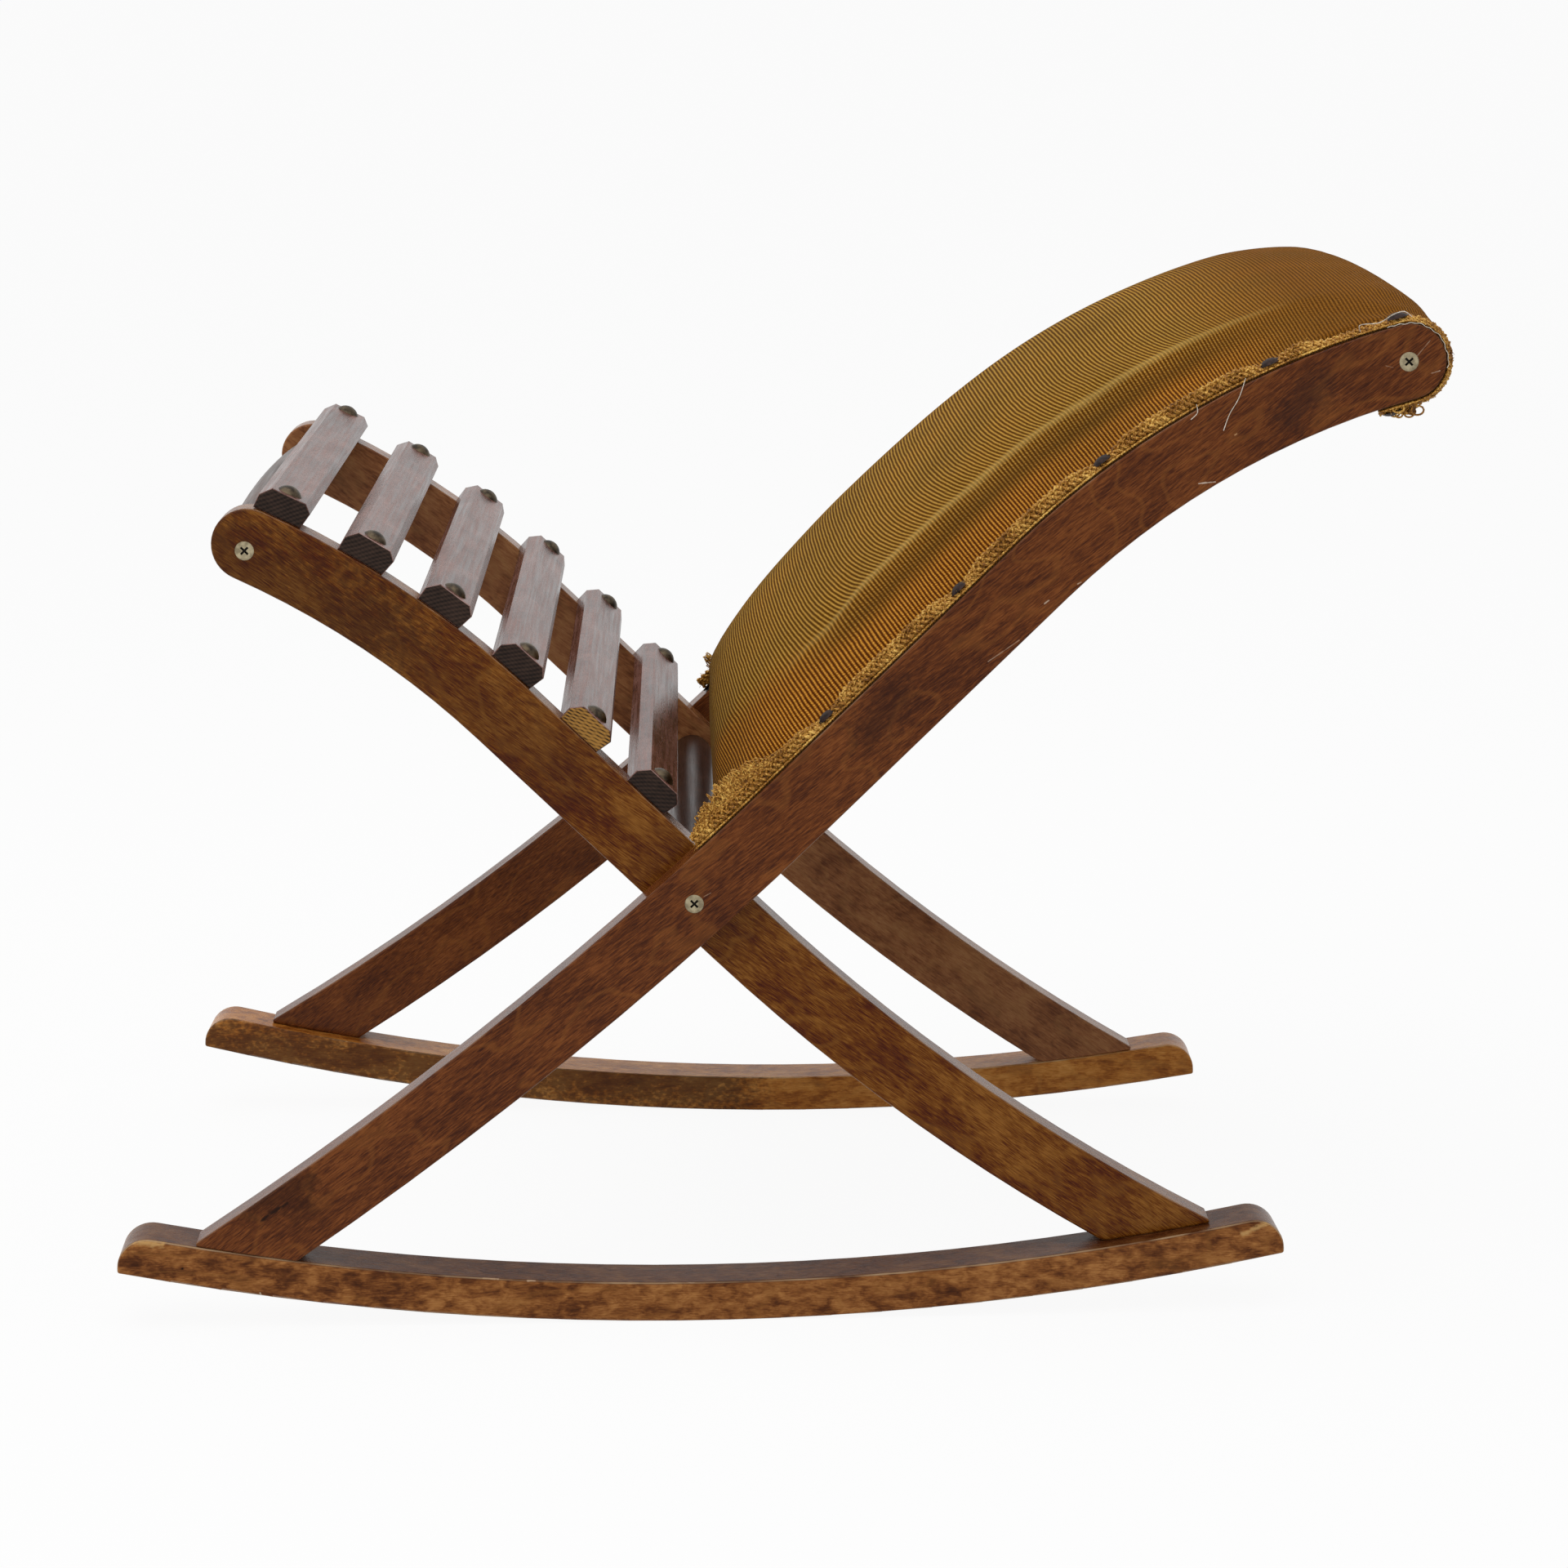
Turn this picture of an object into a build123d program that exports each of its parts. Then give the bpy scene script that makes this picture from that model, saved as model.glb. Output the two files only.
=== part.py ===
"""Rocking footstool: two crossed side frames on rockers, a slatted end and an upholstered end.

X runs along the stool from the slats to the cushion, Y across it, Z up from the floor.
The origin lies on the floor, midway between the rockers, under the lowest point of the left one.
Left is the -Y side and right is the +Y side.
"""

import os
from math import atan2, cos, degrees, radians, sin, tan

from build123d import *

os.makedirs("parts", exist_ok=True)

sides = {"left": -1, "right": 1}

# Frame of crossed legs
frame_width = 378.0
leg_thickness = 18.0
leg_arris = 1.1
crossing_x = -1.0
crossing_z = 202.9

# Cushion leg: slope at the crossing, then a long arc, a straight run and a tight arc to the round end
cushion_leg_width = 34.0
cushion_leg_slope = 42.47
left_cushion_foot_radius = 1870.0
right_cushion_foot_radius = 1400.0
cushion_leg_bow = 66.0
cushion_leg_bow_radius = 1870.0
cushion_leg_straight = 154.4
cushion_leg_top_radius = 376.0
cushion_leg_top_turn = 29.0
cushion_leg_reach = 320.0

# Slat leg: straight past the crossing, a little above its screw, with an arc at each end
slat_leg_width = 33.2
slat_leg_slope = 44.14
slat_leg_lift = 0.7
slat_leg_straight_up = 122.6
slat_leg_top_radius = 413.0
slat_leg_top_turn = 19.3
slat_leg_straight_down = 27.6
left_slat_foot_radius = 927.0
right_slat_foot_radius = 1120.0
slat_leg_reach = 320.0

# Rockers, turned in towards the slat end so that each carries an outer and an inner foot
rocker_radius = 1333.4
rocker_height = 19.0
rocker_width = 28.0
rocker_low_end = -271.0
rocker_high_end = 276.5
rocker_corner = 14.0
rocker_tip = 1.2
rocker_arris = 1.6
rocker_toe = 1.27
right_rocker_tilt = 1.8

# Feet
toe_round = 1.2
heel_round = {"cushion": 3.0, "slat": 8.0}
dowel_radius = 4.0
dowel_up = 13.0
dowel_down = 12.0

# Turned spindles
spindle_middle_radius = 14.5
spindle_end_radius = 10.8
slat_spindle_shift = (-1.5, -2.7)

# Slats
slat_count = 6
slat_end_gap = 2.0
slat_base = 23.3
slat_lean = 1.5
slat_height = 11.5
slat_outer_bevel = (4.4, 5.0)
slat_inner_bevel = (3.7, 3.6)
slat_arris = 0.8
slat_pitch = 42.5
first_slat_at = 47.9
slat_nail_edge = 9.5
slat_nail_shift = 0.7
slat_nail_head = 5.75
slat_nail_dome = 3.2
slat_nail_shank = 1.25
slat_nail_length = 26.0
nail_point = 2.5

# Frame screws
screw_head_radius = 4.35
screw_core_radius = 2.0
screw_sunk = 0.4
screw_rim = 0.4
screw_cone = 2.4
screw_into_spindle = 26.0
screw_slot = 1.0
screw_slot_length = 4.6
screw_slot_depth = 1.6

# Cushion, in mm along the cushion leg's top edge from the crossing and out of that edge
seat_start = 29.0
wall_top = (24.0, 28.0)
brow = (46.0, 34.9)
crown_front = (85.0, 40.3)
crown_top = (140.0, 41.3)
crown_back = (205.0, 38.9)
slope_middle = (280.0, 35.4)
slope_end = (356.0, 28.0)
slope_drop = (375.0, 22.5)
# Thickness at angles round the leg's round end
roll_top = (104.0, 17.0)
roll_shoulder = (75.0, 13.8)
roll_front = (30.0, 8.0)
roll_under = (-20.0, 5.2)
roll_end = (-70.0, 4.4)
roll_split = 20.0
shoulder_height = 27.0
shoulder_from_side = 54.0
seat_from_side = 12.0
side_lip = 4.4
side_height = 5.3
side_waist = 2.5
crown_slices = 3
cover_thickness = 1.8
pad_clearance = 0.3
webbing_thickness = 1.6
webbing_width = 50.0
webbing_count = 6
webbing_from_side = 14.0
base_cloth_thickness = 0.8
cloth_from_end = 6.0
seat_flange = 1.0
flange_overlap = 1.0

# Trimming braid and its nails
braid_width = 11.0
braid_thickness = 2.0
braid_from_side = 0.6
braid_start = 18.0
braid_return = 18.0
gimp_nail_head = 5.3
gimp_nail_dome = 2.2
gimp_nail_shank = 1.1
gimp_nail_length = 16.0
gimp_nail_places = (103.0, 187.0, 273.0, 359.0)
underside_nail_back = 12.0
underside_nail_gap = 0.06

# Fits
bore_clearance = 0.05

# Sizes worked out from the ones above
half_frame = frame_width / 2
meeting_face = half_frame - leg_thickness
slat_leg_inside = meeting_face - leg_thickness
seat_half_width = half_frame - seat_from_side
shoulder_half_width = half_frame - shoulder_from_side
rocker_bed_radius = rocker_radius - rocker_height
under_turn = degrees(braid_return / cushion_leg_top_radius)
slat_length = 2 * (meeting_face - slat_end_gap)
cushion_foot_radius = {-1: left_cushion_foot_radius, 1: right_cushion_foot_radius}
slat_foot_radius = {-1: left_slat_foot_radius, 1: right_slat_foot_radius}


def heading(angle):
    return (cos(radians(angle)), sin(radians(angle)))


def side_plane(y):
    # An upright plane along the stool at y, drawn in X and Z, facing -Y
    return Plane.XZ.offset(-y)


def rocker_plane(side):
    # The middle plane of a rocker, turned about the vertical through the stool's middle
    along, across = heading(rocker_toe)
    middle = (0, side * meeting_face, 0)
    return Plane(origin=middle, x_dir=(along, -side * across, 0), z_dir=(-side * across, -along, 0))


def rocker_centre(side):
    shift = rocker_radius * sin(radians(right_rocker_tilt)) if side > 0 else 0.0
    return (shift, rocker_radius)


crossing = Vector(crossing_x, crossing_z)
slat_leg_start = crossing + Vector(*heading(90 - slat_leg_slope)) * slat_leg_lift


def cushion_leg_run(out, start, foot_radius=None):
    # A line `out` mm above the cushion leg's centre line, from `start` mm past the crossing
    # to the round end, or from the foot if that has a radius
    turned = degrees(start / cushion_leg_bow_radius)
    centre = crossing + Vector(*heading(cushion_leg_slope + 90)) * cushion_leg_bow_radius
    first = centre - Vector(*heading(cushion_leg_slope + turned + 90)) * (cushion_leg_bow_radius - out)
    bow_turn = degrees(cushion_leg_bow / cushion_leg_bow_radius) - turned
    with BuildLine() as run:
        if foot_radius:
            down = heading(cushion_leg_slope + 180)
            JernArc(first, down, foot_radius - out, -degrees(cushion_leg_reach / foot_radius))
        bow = JernArc(first, heading(cushion_leg_slope + turned), cushion_leg_bow_radius - out, bow_turn)
        bar = Line(bow @ 1, bow @ 1 + (bow % 1) * cushion_leg_straight)
        JernArc(bar @ 1, bar % 1, cushion_leg_top_radius + out, -cushion_leg_top_turn)
    return run.line


def slat_leg_run(out, foot_radius=None):
    # A line `out` mm above the slat leg's centre line, from the crossing to the round end,
    # or from the foot if that has a radius
    first = slat_leg_start + Vector(*heading(90 - slat_leg_slope)) * out
    up = heading(180 - slat_leg_slope)
    down = heading(-slat_leg_slope)
    with BuildLine() as run:
        if foot_radius:
            foot_bar = Line(first, first + Vector(*down) * slat_leg_straight_down)
            foot_turn = degrees((slat_leg_reach - slat_leg_straight_down) / foot_radius)
            JernArc(foot_bar @ 1, down, foot_radius - out, foot_turn)
        bar = Line(first, first + Vector(*up) * slat_leg_straight_up)
        JernArc(bar @ 1, up, slat_leg_top_radius + out, slat_leg_top_turn)
    return run.line


def as_wire(run):
    return Wire(run.edges())


cushion_half = cushion_leg_width / 2
slat_half = slat_leg_width / 2
cushion_edge = as_wire(cushion_leg_run(cushion_half, 0))
cushion_under = as_wire(cushion_leg_run(-cushion_half, 0))
slat_edge = as_wire(slat_leg_run(slat_half))
cushion_end = as_wire(cushion_leg_run(0, 0)) @ 1
slat_end = as_wire(slat_leg_run(0)) @ 1
cushion_leg_bow_turn = degrees(cushion_leg_bow / cushion_leg_bow_radius)
seat_end_slope = cushion_leg_slope + cushion_leg_bow_turn - cushion_leg_top_turn


def edge_plane(edge, distance, y, lift=0.0, shift=0.0):
    # A plane on a leg's upper edge, facing up out of the wood, `lift` mm above it and `shift` mm along it
    at = edge.position_at(distance, PositionMode.LENGTH)
    run = edge.tangent_at(distance, PositionMode.LENGTH)
    turn = 1 if run.X > 0 else -1
    out = Vector(-run.Y, 0, run.X) * turn
    along = Vector(run.X, 0, run.Y) * turn
    return Plane(origin=Vector(at.X, y, at.Y) + out * lift + along * shift, x_dir=along, z_dir=out)


slat_places = [first_slat_at + slat_pitch * (slat_count - number) for number in range(1, slat_count + 1)]
slat_nail_y = slat_length / 2 - slat_nail_edge
braid_y = half_frame - braid_from_side - braid_width / 2
braid_lift = seat_flange + braid_thickness
gimp_places = (*gimp_nail_places, cushion_edge.length)
leg_middle = {"cushion": meeting_face + leg_thickness / 2, "slat": meeting_face - leg_thickness / 2}


def slat_nail_planes(side):
    return [slat_nail_plane(place, side) for place in slat_places]


def slat_nail_plane(place, side):
    return edge_plane(slat_edge, place, side * slat_nail_y, slat_height, slat_nail_shift)


def gimp_nail_planes(side):
    return [edge_plane(cushion_edge, place, side * braid_y, braid_lift) for place in gimp_places]


def underside_nail_plane(side):
    # On the cushion leg's lower edge, a little back from the round end, facing down
    place = cushion_under.length - underside_nail_back
    above = edge_plane(cushion_under, place, side * braid_y, -braid_lift - underside_nail_gap)
    return Plane(origin=above.origin, x_dir=above.x_dir, z_dir=above.z_dir * -1)


def foot_place(kind, side):
    # Where a leg's centre line meets the rocker's upper face
    if kind == "cushion":
        radius = cushion_foot_radius[side]
        bend_start = crossing
        aside = heading(cushion_leg_slope + 90)
    else:
        radius = slat_foot_radius[side]
        bend_start = slat_leg_start + Vector(*heading(-slat_leg_slope)) * slat_leg_straight_down
        aside = heading(90 - slat_leg_slope)
    leg_centre = bend_start + Vector(*aside) * radius
    apart = Vector(*rocker_centre(side)) - leg_centre
    along = (radius**2 - rocker_bed_radius**2 + apart.length**2) / (2 * apart.length)
    across = (radius**2 - along**2) ** 0.5
    meeting = leg_centre + apart.normalized() * along
    square = Vector(-apart.Y, apart.X).normalized() * across
    return min((meeting + square, meeting - square), key=lambda place: place.Y)


def dowel_plane(kind, side):
    # At the top of a foot's dowel, facing up
    foot = foot_place(kind, side)
    return Plane(origin=(foot.X, side * leg_middle[kind], foot.Y + dowel_up))


def drill(planes, radius, depth):
    with BuildSketch(*planes) as bores:
        Circle(radius + bore_clearance)
    extrude(bores.sketch, amount=-depth, mode=Mode.SUBTRACT)


def screw_plane(at, outer_face, side):
    # Through the screw's axis: x across the screw and y out of the leg, from its outer face
    return Plane(origin=(at.X, side * outer_face, at.Y), x_dir=(1, 0, 0), z_dir=(0, 0, side))


def screw_profile(plane, length, spare):
    # Half of a countersunk screw, or with some clearance to spare the hole it lies in
    head = screw_head_radius + spare
    core = screw_core_radius + spare
    head_top = 0.0 if spare else -screw_sunk
    with BuildSketch(plane) as profile:
        with BuildLine():
            Polyline(
                (0, head_top),
                (head, head_top),
                (head, -screw_sunk - screw_rim),
                (core, -screw_sunk - screw_rim - screw_cone),
                (core, -length),
                (0, -length),
                close=True,
            )
        make_face()
    return profile.sketch


def sink_screw(at, outer_face, side, length):
    plane = screw_plane(at, outer_face, side)
    revolve(screw_profile(plane, length, bore_clearance), Axis(plane.origin, plane.y_dir), mode=Mode.SUBTRACT)


# Each pair of frame screws: where, the leg face it starts from and how far it reaches
screw_sites = [
    (crossing, half_frame, 2 * leg_thickness + screw_into_spindle),
    (cushion_end, half_frame, leg_thickness + screw_into_spindle),
    (slat_end + Vector(*slat_spindle_shift), meeting_face, leg_thickness + screw_into_spindle),
]


def make_leg(kind, side, run, width, outer_face):
    with BuildPart() as leg:
        with BuildSketch(side_plane(side * outer_face)):
            with BuildLine():
                add(run)
                offset(amount=width / 2, side=Side.BOTH)
            make_face()
        extrude(amount=side * leg_thickness)
        # The foot is cut to the rocker's upper face
        with BuildSketch(rocker_plane(side)):
            with Locations(rocker_centre(side)):
                Circle(rocker_bed_radius)
        extrude(amount=2 * leg_thickness, both=True, mode=Mode.INTERSECT)
        # The toe points away from the stool's middle and the heel towards it
        toe_end = 0 if kind == "cushion" else -1
        heel_end = -1 - toe_end
        foot = leg.faces().sort_by(Axis.Z)[0]
        fillet(foot.edges().sort_by(Axis.X)[toe_end], toe_round)
        foot = leg.faces().sort_by(Axis.Z)[0]
        fillet(foot.edges().sort_by(Axis.X)[heel_end], heel_round[kind])
        foot = leg.faces().sort_by(Axis.Z)[0]
        flats = leg.faces().filter_by(Axis.Y)
        fillet([edge for edge in flats.edges() if edge not in foot.edges()], leg_arris)
        drill([dowel_plane(kind, side)], dowel_radius, dowel_up + dowel_down)
        if kind == "cushion":
            drill([*gimp_nail_planes(side), underside_nail_plane(side)], gimp_nail_shank, gimp_nail_length)
        else:
            drill(slat_nail_planes(side), slat_nail_shank, slat_nail_length)
        for at, face, length in screw_sites:
            sink_screw(at, face, side, length)
    return leg.part


def make_rocker(side):
    middle = rocker_plane(side)
    span = rocker_high_end - rocker_low_end
    with BuildPart() as rocker:
        with BuildSketch(middle.offset(-rocker_width / 2)):
            with Locations(rocker_centre(side)):
                Circle(rocker_radius)
                Circle(rocker_bed_radius, mode=Mode.SUBTRACT)
            with Locations((rocker_low_end + span / 2, rocker_radius / 4)):
                Rectangle(span, rocker_radius / 2, mode=Mode.INTERSECT)
        extrude(amount=rocker_width)
        corners = rocker.edges().filter_by(Axis((0, 0, 0), middle.z_dir)).sort_by(Axis.X)
        low_end = corners[:2].sort_by(Axis.Z)
        high_end = corners[2:].sort_by(Axis.Z)
        fillet([low_end[1], high_end[1]], rocker_corner)
        corners = rocker.edges().filter_by(Axis((0, 0, 0), middle.z_dir)).sort_by(Axis.X)
        low_end = corners[:3].sort_by(Axis.Z)
        high_end = corners[-3:].sort_by(Axis.Z)
        fillet([low_end[0], high_end[0]], rocker_tip)
        flats = rocker.faces().filter_by(Axis((0, 0, 0), middle.z_dir))
        fillet(flats.edges(), rocker_arris)
        drill([dowel_plane(kind, side) for kind in leg_middle], dowel_radius, dowel_up + dowel_down)
    return rocker.part


def make_spindle(at, half_length, outer_face, reach):
    # A turned barrel between two legs, with a bore in each end for its screw
    axis = Axis((at.X, 0, at.Y), (0, 1, 0))
    with BuildPart() as spindle:
        with BuildSketch(Plane(origin=axis.position, x_dir=(0, 1, 0), z_dir=(1, 0, 0))):
            with BuildLine():
                barrel = ThreePointArc(
                    (-half_length, spindle_end_radius),
                    (0, spindle_middle_radius),
                    (half_length, spindle_end_radius),
                )
                Polyline(barrel @ 1, (half_length, 0), (-half_length, 0), barrel @ 0)
            make_face()
        revolve(axis=axis)
        for side in sides.values():
            sink_screw(at, outer_face, side, reach)
    return spindle.part


def make_slat(place):
    middle = edge_plane(slat_edge, place, 0)
    section = Plane(origin=middle.origin + (0, slat_length / 2, 0), x_dir=middle.x_dir, z_dir=(0, -1, 0))
    half = slat_base / 2
    with BuildPart() as slat:
        with BuildSketch(section):
            with BuildLine():
                Polyline(
                    (-half, 0),
                    (half, 0),
                    (half + slat_lean, slat_height - slat_inner_bevel[1]),
                    (half + slat_lean - slat_inner_bevel[0], slat_height),
                    (slat_outer_bevel[0] - half, slat_height),
                    (-half, slat_height - slat_outer_bevel[1]),
                    close=True,
                )
            make_face()
        extrude(amount=slat_length)
        fillet(slat.faces().filter_by(Axis.Y).edges(), slat_arris)
        for side in sides.values():
            drill([slat_nail_plane(place, side)], slat_nail_shank, slat_nail_length)
    return slat.part


def make_nails(planes, head, dome, shank, length):
    # Domed nails, each with its head on a plane and its pointed shank below
    with BuildPart() as nails:
        for plane in planes:
            upright = Plane(origin=plane.origin, x_dir=plane.x_dir, z_dir=plane.x_dir.cross(plane.z_dir))
            with BuildSketch(upright):
                with BuildLine():
                    cap = RadiusArc((head, 0), (0, dome), -(head**2 + dome**2) / (2 * dome))
                    Polyline(cap @ 1, (0, -length), (shank, nail_point - length), (shank, 0), cap @ 0)
                make_face()
            revolve(axis=Axis(plane.origin, plane.z_dir))
    return nails.part


def make_screws():
    with BuildPart() as screws:
        for side in sides.values():
            for at, face, length in screw_sites:
                plane = screw_plane(at, face, side)
                revolve(screw_profile(plane, length, 0), Axis(plane.origin, plane.y_dir))
                head = Plane(origin=plane.origin - plane.y_dir * screw_sunk, x_dir=(1, 0, 1), z_dir=plane.y_dir)
                with BuildSketch(head):
                    Rectangle(screw_slot_length, screw_slot)
                    Rectangle(screw_slot, screw_slot_length)
                extrude(amount=-screw_slot_depth, mode=Mode.SUBTRACT)
    return screws.part


def make_dowels():
    with BuildPart() as dowels:
        for side in sides.values():
            with BuildSketch(*[dowel_plane(kind, side) for kind in leg_middle]):
                Circle(dowel_radius)
            extrude(amount=-dowel_up - dowel_down)
    return dowels.part


def off_leg(distance, height):
    # A point `distance` mm up the seat and `height` mm out of the cushion leg's upper edge
    plane = edge_plane(cushion_edge, seat_start + distance, 0, height)
    return (plane.origin.X, plane.origin.Z)


def off_end(angle, thickness):
    # A point outside the cushion leg's round end
    return cushion_end + Vector(*heading(angle)) * (cushion_half + thickness)


def seat_slice(y, height, inset, base):
    # The seat's outline in an upright plane at y, where its crown is `height` high, drawn in by `inset`
    share = (height - side_lip) / (crown_top[1] - side_lip)

    def level(full):
        return side_lip + (full - side_lip) * share - inset

    def seat_point(station):
        return off_leg(station[0], level(station[1]))

    def roll_point(station):
        return off_end(station[0], level(station[1]))

    front = side_lip + (wall_top[0] - side_lip) * share
    with BuildSketch(side_plane(y)) as outline:
        with BuildLine():
            add(cushion_leg_run(cushion_half + base, seat_start + inset))
            top_of_end = cushion_end + Vector(*heading(seat_end_slope + 90)) * (cushion_half + base)
            round_end = ThreePointArc(
                top_of_end, off_end((seat_end_slope + 90 + roll_split) / 2, base), off_end(roll_split, base)
            )
            under_end = ThreePointArc(
                round_end @ 1, off_end((roll_split + roll_end[0]) / 2, base), off_end(roll_end[0], base)
            )
            lip = Line(under_end @ 1, roll_point(roll_end))
            under_roll = ThreePointArc(lip @ 1, roll_point(roll_under), roll_point(roll_front))
            over_roll = ThreePointArc(under_roll @ 1, roll_point(roll_shoulder), roll_point(roll_top))
            drop = ThreePointArc(over_roll @ 1, seat_point(slope_drop), seat_point(slope_end))
            slope = ThreePointArc(drop @ 1, seat_point(slope_middle), seat_point(crown_back))
            crown = ThreePointArc(slope @ 1, seat_point(crown_top), seat_point(crown_front))
            rise = ThreePointArc(crown @ 1, seat_point(brow), off_leg(front + inset, level(wall_top[1])))
            first = as_wire(cushion_leg_run(cushion_half + base, seat_start + inset)) @ 0
            Line(rise @ 1, first)
        make_face()
    return outline.sketch


def crown_at(y):
    # The crown falls off as a parabola from the middle to the shoulders
    return crown_top[1] - (crown_top[1] - shoulder_height) * (y / shoulder_half_width) ** 2


def seat_form(inset, base):
    # Three lofts across the stool: the crown between the shoulders, and a hollow side beyond each of them
    shoulder = shoulder_half_width - inset / 2
    edge = seat_half_width - inset
    waist_y = (shoulder + edge) / 2
    waist = (shoulder_height + side_lip) / 2 - side_waist
    with BuildPart() as form:
        across = [shoulder * share / crown_slices for share in range(-crown_slices, crown_slices + 1)]
        loft([seat_slice(y, crown_at(y), inset, base) for y in across])
        for side in sides.values():
            loft([
                seat_slice(side * shoulder, crown_at(shoulder), inset, base),
                seat_slice(side * waist_y, waist, inset, base),
                seat_slice(side * edge, side_height, inset, base),
            ])
    return form.part


def edging_run(out):
    # Along the cushion leg's upper edge, round its end and a little way back underneath
    with BuildLine() as run:
        add(cushion_leg_run(cushion_half + out, braid_start))
        top = as_wire(cushion_leg_run(cushion_half + out, braid_start))
        end = JernArc(top @ 1, top % 1, cushion_half + out, -180)
        JernArc(end @ 1, end % 1, cushion_leg_top_radius - cushion_half - out, under_turn)
    return run.line


def make_strip(run, thickness, y_from, y_to):
    # A strip of even thickness along a run, from y_from to y_to
    with BuildPart() as strip:
        with BuildSketch(side_plane(y_to)):
            trace(run, thickness)
        extrude(amount=y_to - y_from)
    return strip.part


def make_webbing():
    # Straps across the stool from leg to leg, evenly spaced along the seat
    spacing = (cushion_edge.length - seat_start - webbing_width) / webbing_count
    reach = half_frame - webbing_from_side
    with BuildPart() as webbing:
        for number in range(webbing_count):
            middle = off_leg(spacing * number + webbing_width, 0)
            slope = edge_plane(cushion_edge, seat_start + spacing * number + webbing_width, 0).x_dir
            with BuildSketch(side_plane(reach)):
                trace(cushion_leg_run(cushion_half + webbing_thickness / 2, seat_start), webbing_thickness)
                with Locations(Location(middle, degrees(atan2(slope.Z, slope.X)))):
                    Rectangle(webbing_width, webbing_width, mode=Mode.INTERSECT)
            extrude(amount=2 * reach)
    return webbing.part


def make_base_cloth():
    reach = half_frame - webbing_from_side
    lift = webbing_thickness + base_cloth_thickness / 2
    run = cushion_leg_run(cushion_half + lift, seat_start + cloth_from_end)
    return make_strip(run, base_cloth_thickness, -reach, reach)


def make_pad():
    # The filling fits inside the cover and lies on the base cloth
    lift = webbing_thickness + base_cloth_thickness
    with BuildPart() as pad:
        add(seat_form(cover_thickness + pad_clearance, -1))
        with BuildSketch(side_plane(half_frame)):
            with BuildLine():
                add(cushion_leg_run(0, 0))
                offset(amount=cushion_half + lift, side=Side.BOTH)
            make_face()
        extrude(amount=frame_width, mode=Mode.SUBTRACT)
    return pad.part


def make_cover():
    # A shell over the pad, with a flat edge on each leg under the braid
    with BuildPart() as cover:
        add(seat_form(0, 0))
        add(seat_form(cover_thickness, -1), mode=Mode.SUBTRACT)
        inner = seat_half_width - flange_overlap
        outer = half_frame - braid_from_side
        for side in sides.values():
            low, high = sorted((side * inner, side * outer))
            add(make_strip(edging_run(seat_flange / 2), seat_flange, low, high))
            drill([*gimp_nail_planes(side), underside_nail_plane(side)], gimp_nail_shank, gimp_nail_length)
    return cover.part


def make_braid(side):
    low, high = sorted((side * (braid_y - braid_width / 2), side * (braid_y + braid_width / 2)))
    with BuildPart() as braid:
        add(make_strip(edging_run(seat_flange + braid_thickness / 2), braid_thickness, low, high))
        drill([*gimp_nail_planes(side), underside_nail_plane(side)], gimp_nail_shank, gimp_nail_length)
    return braid.part


pieces = {}
for name, side in sides.items():
    cushion_run = cushion_leg_run(0, 0, cushion_foot_radius[side])
    slat_run = slat_leg_run(0, slat_foot_radius[side])
    pieces[name + "_cushion_leg"] = make_leg("cushion", side, cushion_run, cushion_leg_width, half_frame)
    pieces[name + "_slat_leg"] = make_leg("slat", side, slat_run, slat_leg_width, meeting_face)
    pieces[name + "_rocker"] = make_rocker(side)
    pieces[name + "_braid"] = make_braid(side)
    braid_nail_planes = [*gimp_nail_planes(side), underside_nail_plane(side)]
    pieces[name + "_braid_nails"] = make_nails(
        braid_nail_planes, gimp_nail_head, gimp_nail_dome, gimp_nail_shank, gimp_nail_length
    )
for spindle, half_length, (at, face, reach) in zip(
    ("crossing_spindle", "cushion_end_spindle", "slat_end_spindle"),
    (slat_leg_inside, meeting_face, slat_leg_inside),
    screw_sites,
):
    pieces[spindle] = make_spindle(at, half_length, face, reach)
for number, place in enumerate(slat_places, 1):
    pieces[f"slat_{number}"] = make_slat(place)
pieces["slat_nails"] = make_nails(
    [*slat_nail_planes(-1), *slat_nail_planes(1)],
    slat_nail_head,
    slat_nail_dome,
    slat_nail_shank,
    slat_nail_length,
)
pieces["frame_screws"] = make_screws()
pieces["foot_dowels"] = make_dowels()
pieces["seat_webbing"] = make_webbing()
pieces["base_cloth"] = make_base_cloth()
pieces["cushion_pad"] = make_pad()
pieces["velvet_cover"] = make_cover()

for name, piece in pieces.items():
    piece.label = name
    export_step(piece, f"parts/{name}.step")
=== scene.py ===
import bmesh
import bpy
import random
from math import cos, exp, pi, radians, sin
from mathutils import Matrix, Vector
from mathutils.bvhtree import BVHTree


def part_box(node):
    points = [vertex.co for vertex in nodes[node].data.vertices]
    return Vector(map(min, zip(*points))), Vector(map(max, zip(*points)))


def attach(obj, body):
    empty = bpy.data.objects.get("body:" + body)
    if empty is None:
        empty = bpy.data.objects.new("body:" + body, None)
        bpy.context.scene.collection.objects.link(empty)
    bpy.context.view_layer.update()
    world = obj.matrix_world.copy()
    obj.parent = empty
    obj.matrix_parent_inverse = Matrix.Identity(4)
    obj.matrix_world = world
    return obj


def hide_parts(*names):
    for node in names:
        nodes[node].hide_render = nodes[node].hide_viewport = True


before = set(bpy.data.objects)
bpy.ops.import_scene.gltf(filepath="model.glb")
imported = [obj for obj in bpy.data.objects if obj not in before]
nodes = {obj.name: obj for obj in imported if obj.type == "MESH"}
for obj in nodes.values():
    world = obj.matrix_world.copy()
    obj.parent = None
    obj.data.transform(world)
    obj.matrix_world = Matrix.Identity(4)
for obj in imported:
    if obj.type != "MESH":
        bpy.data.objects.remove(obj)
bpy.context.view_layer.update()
mm = 0.001
print("frame loaded")

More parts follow.
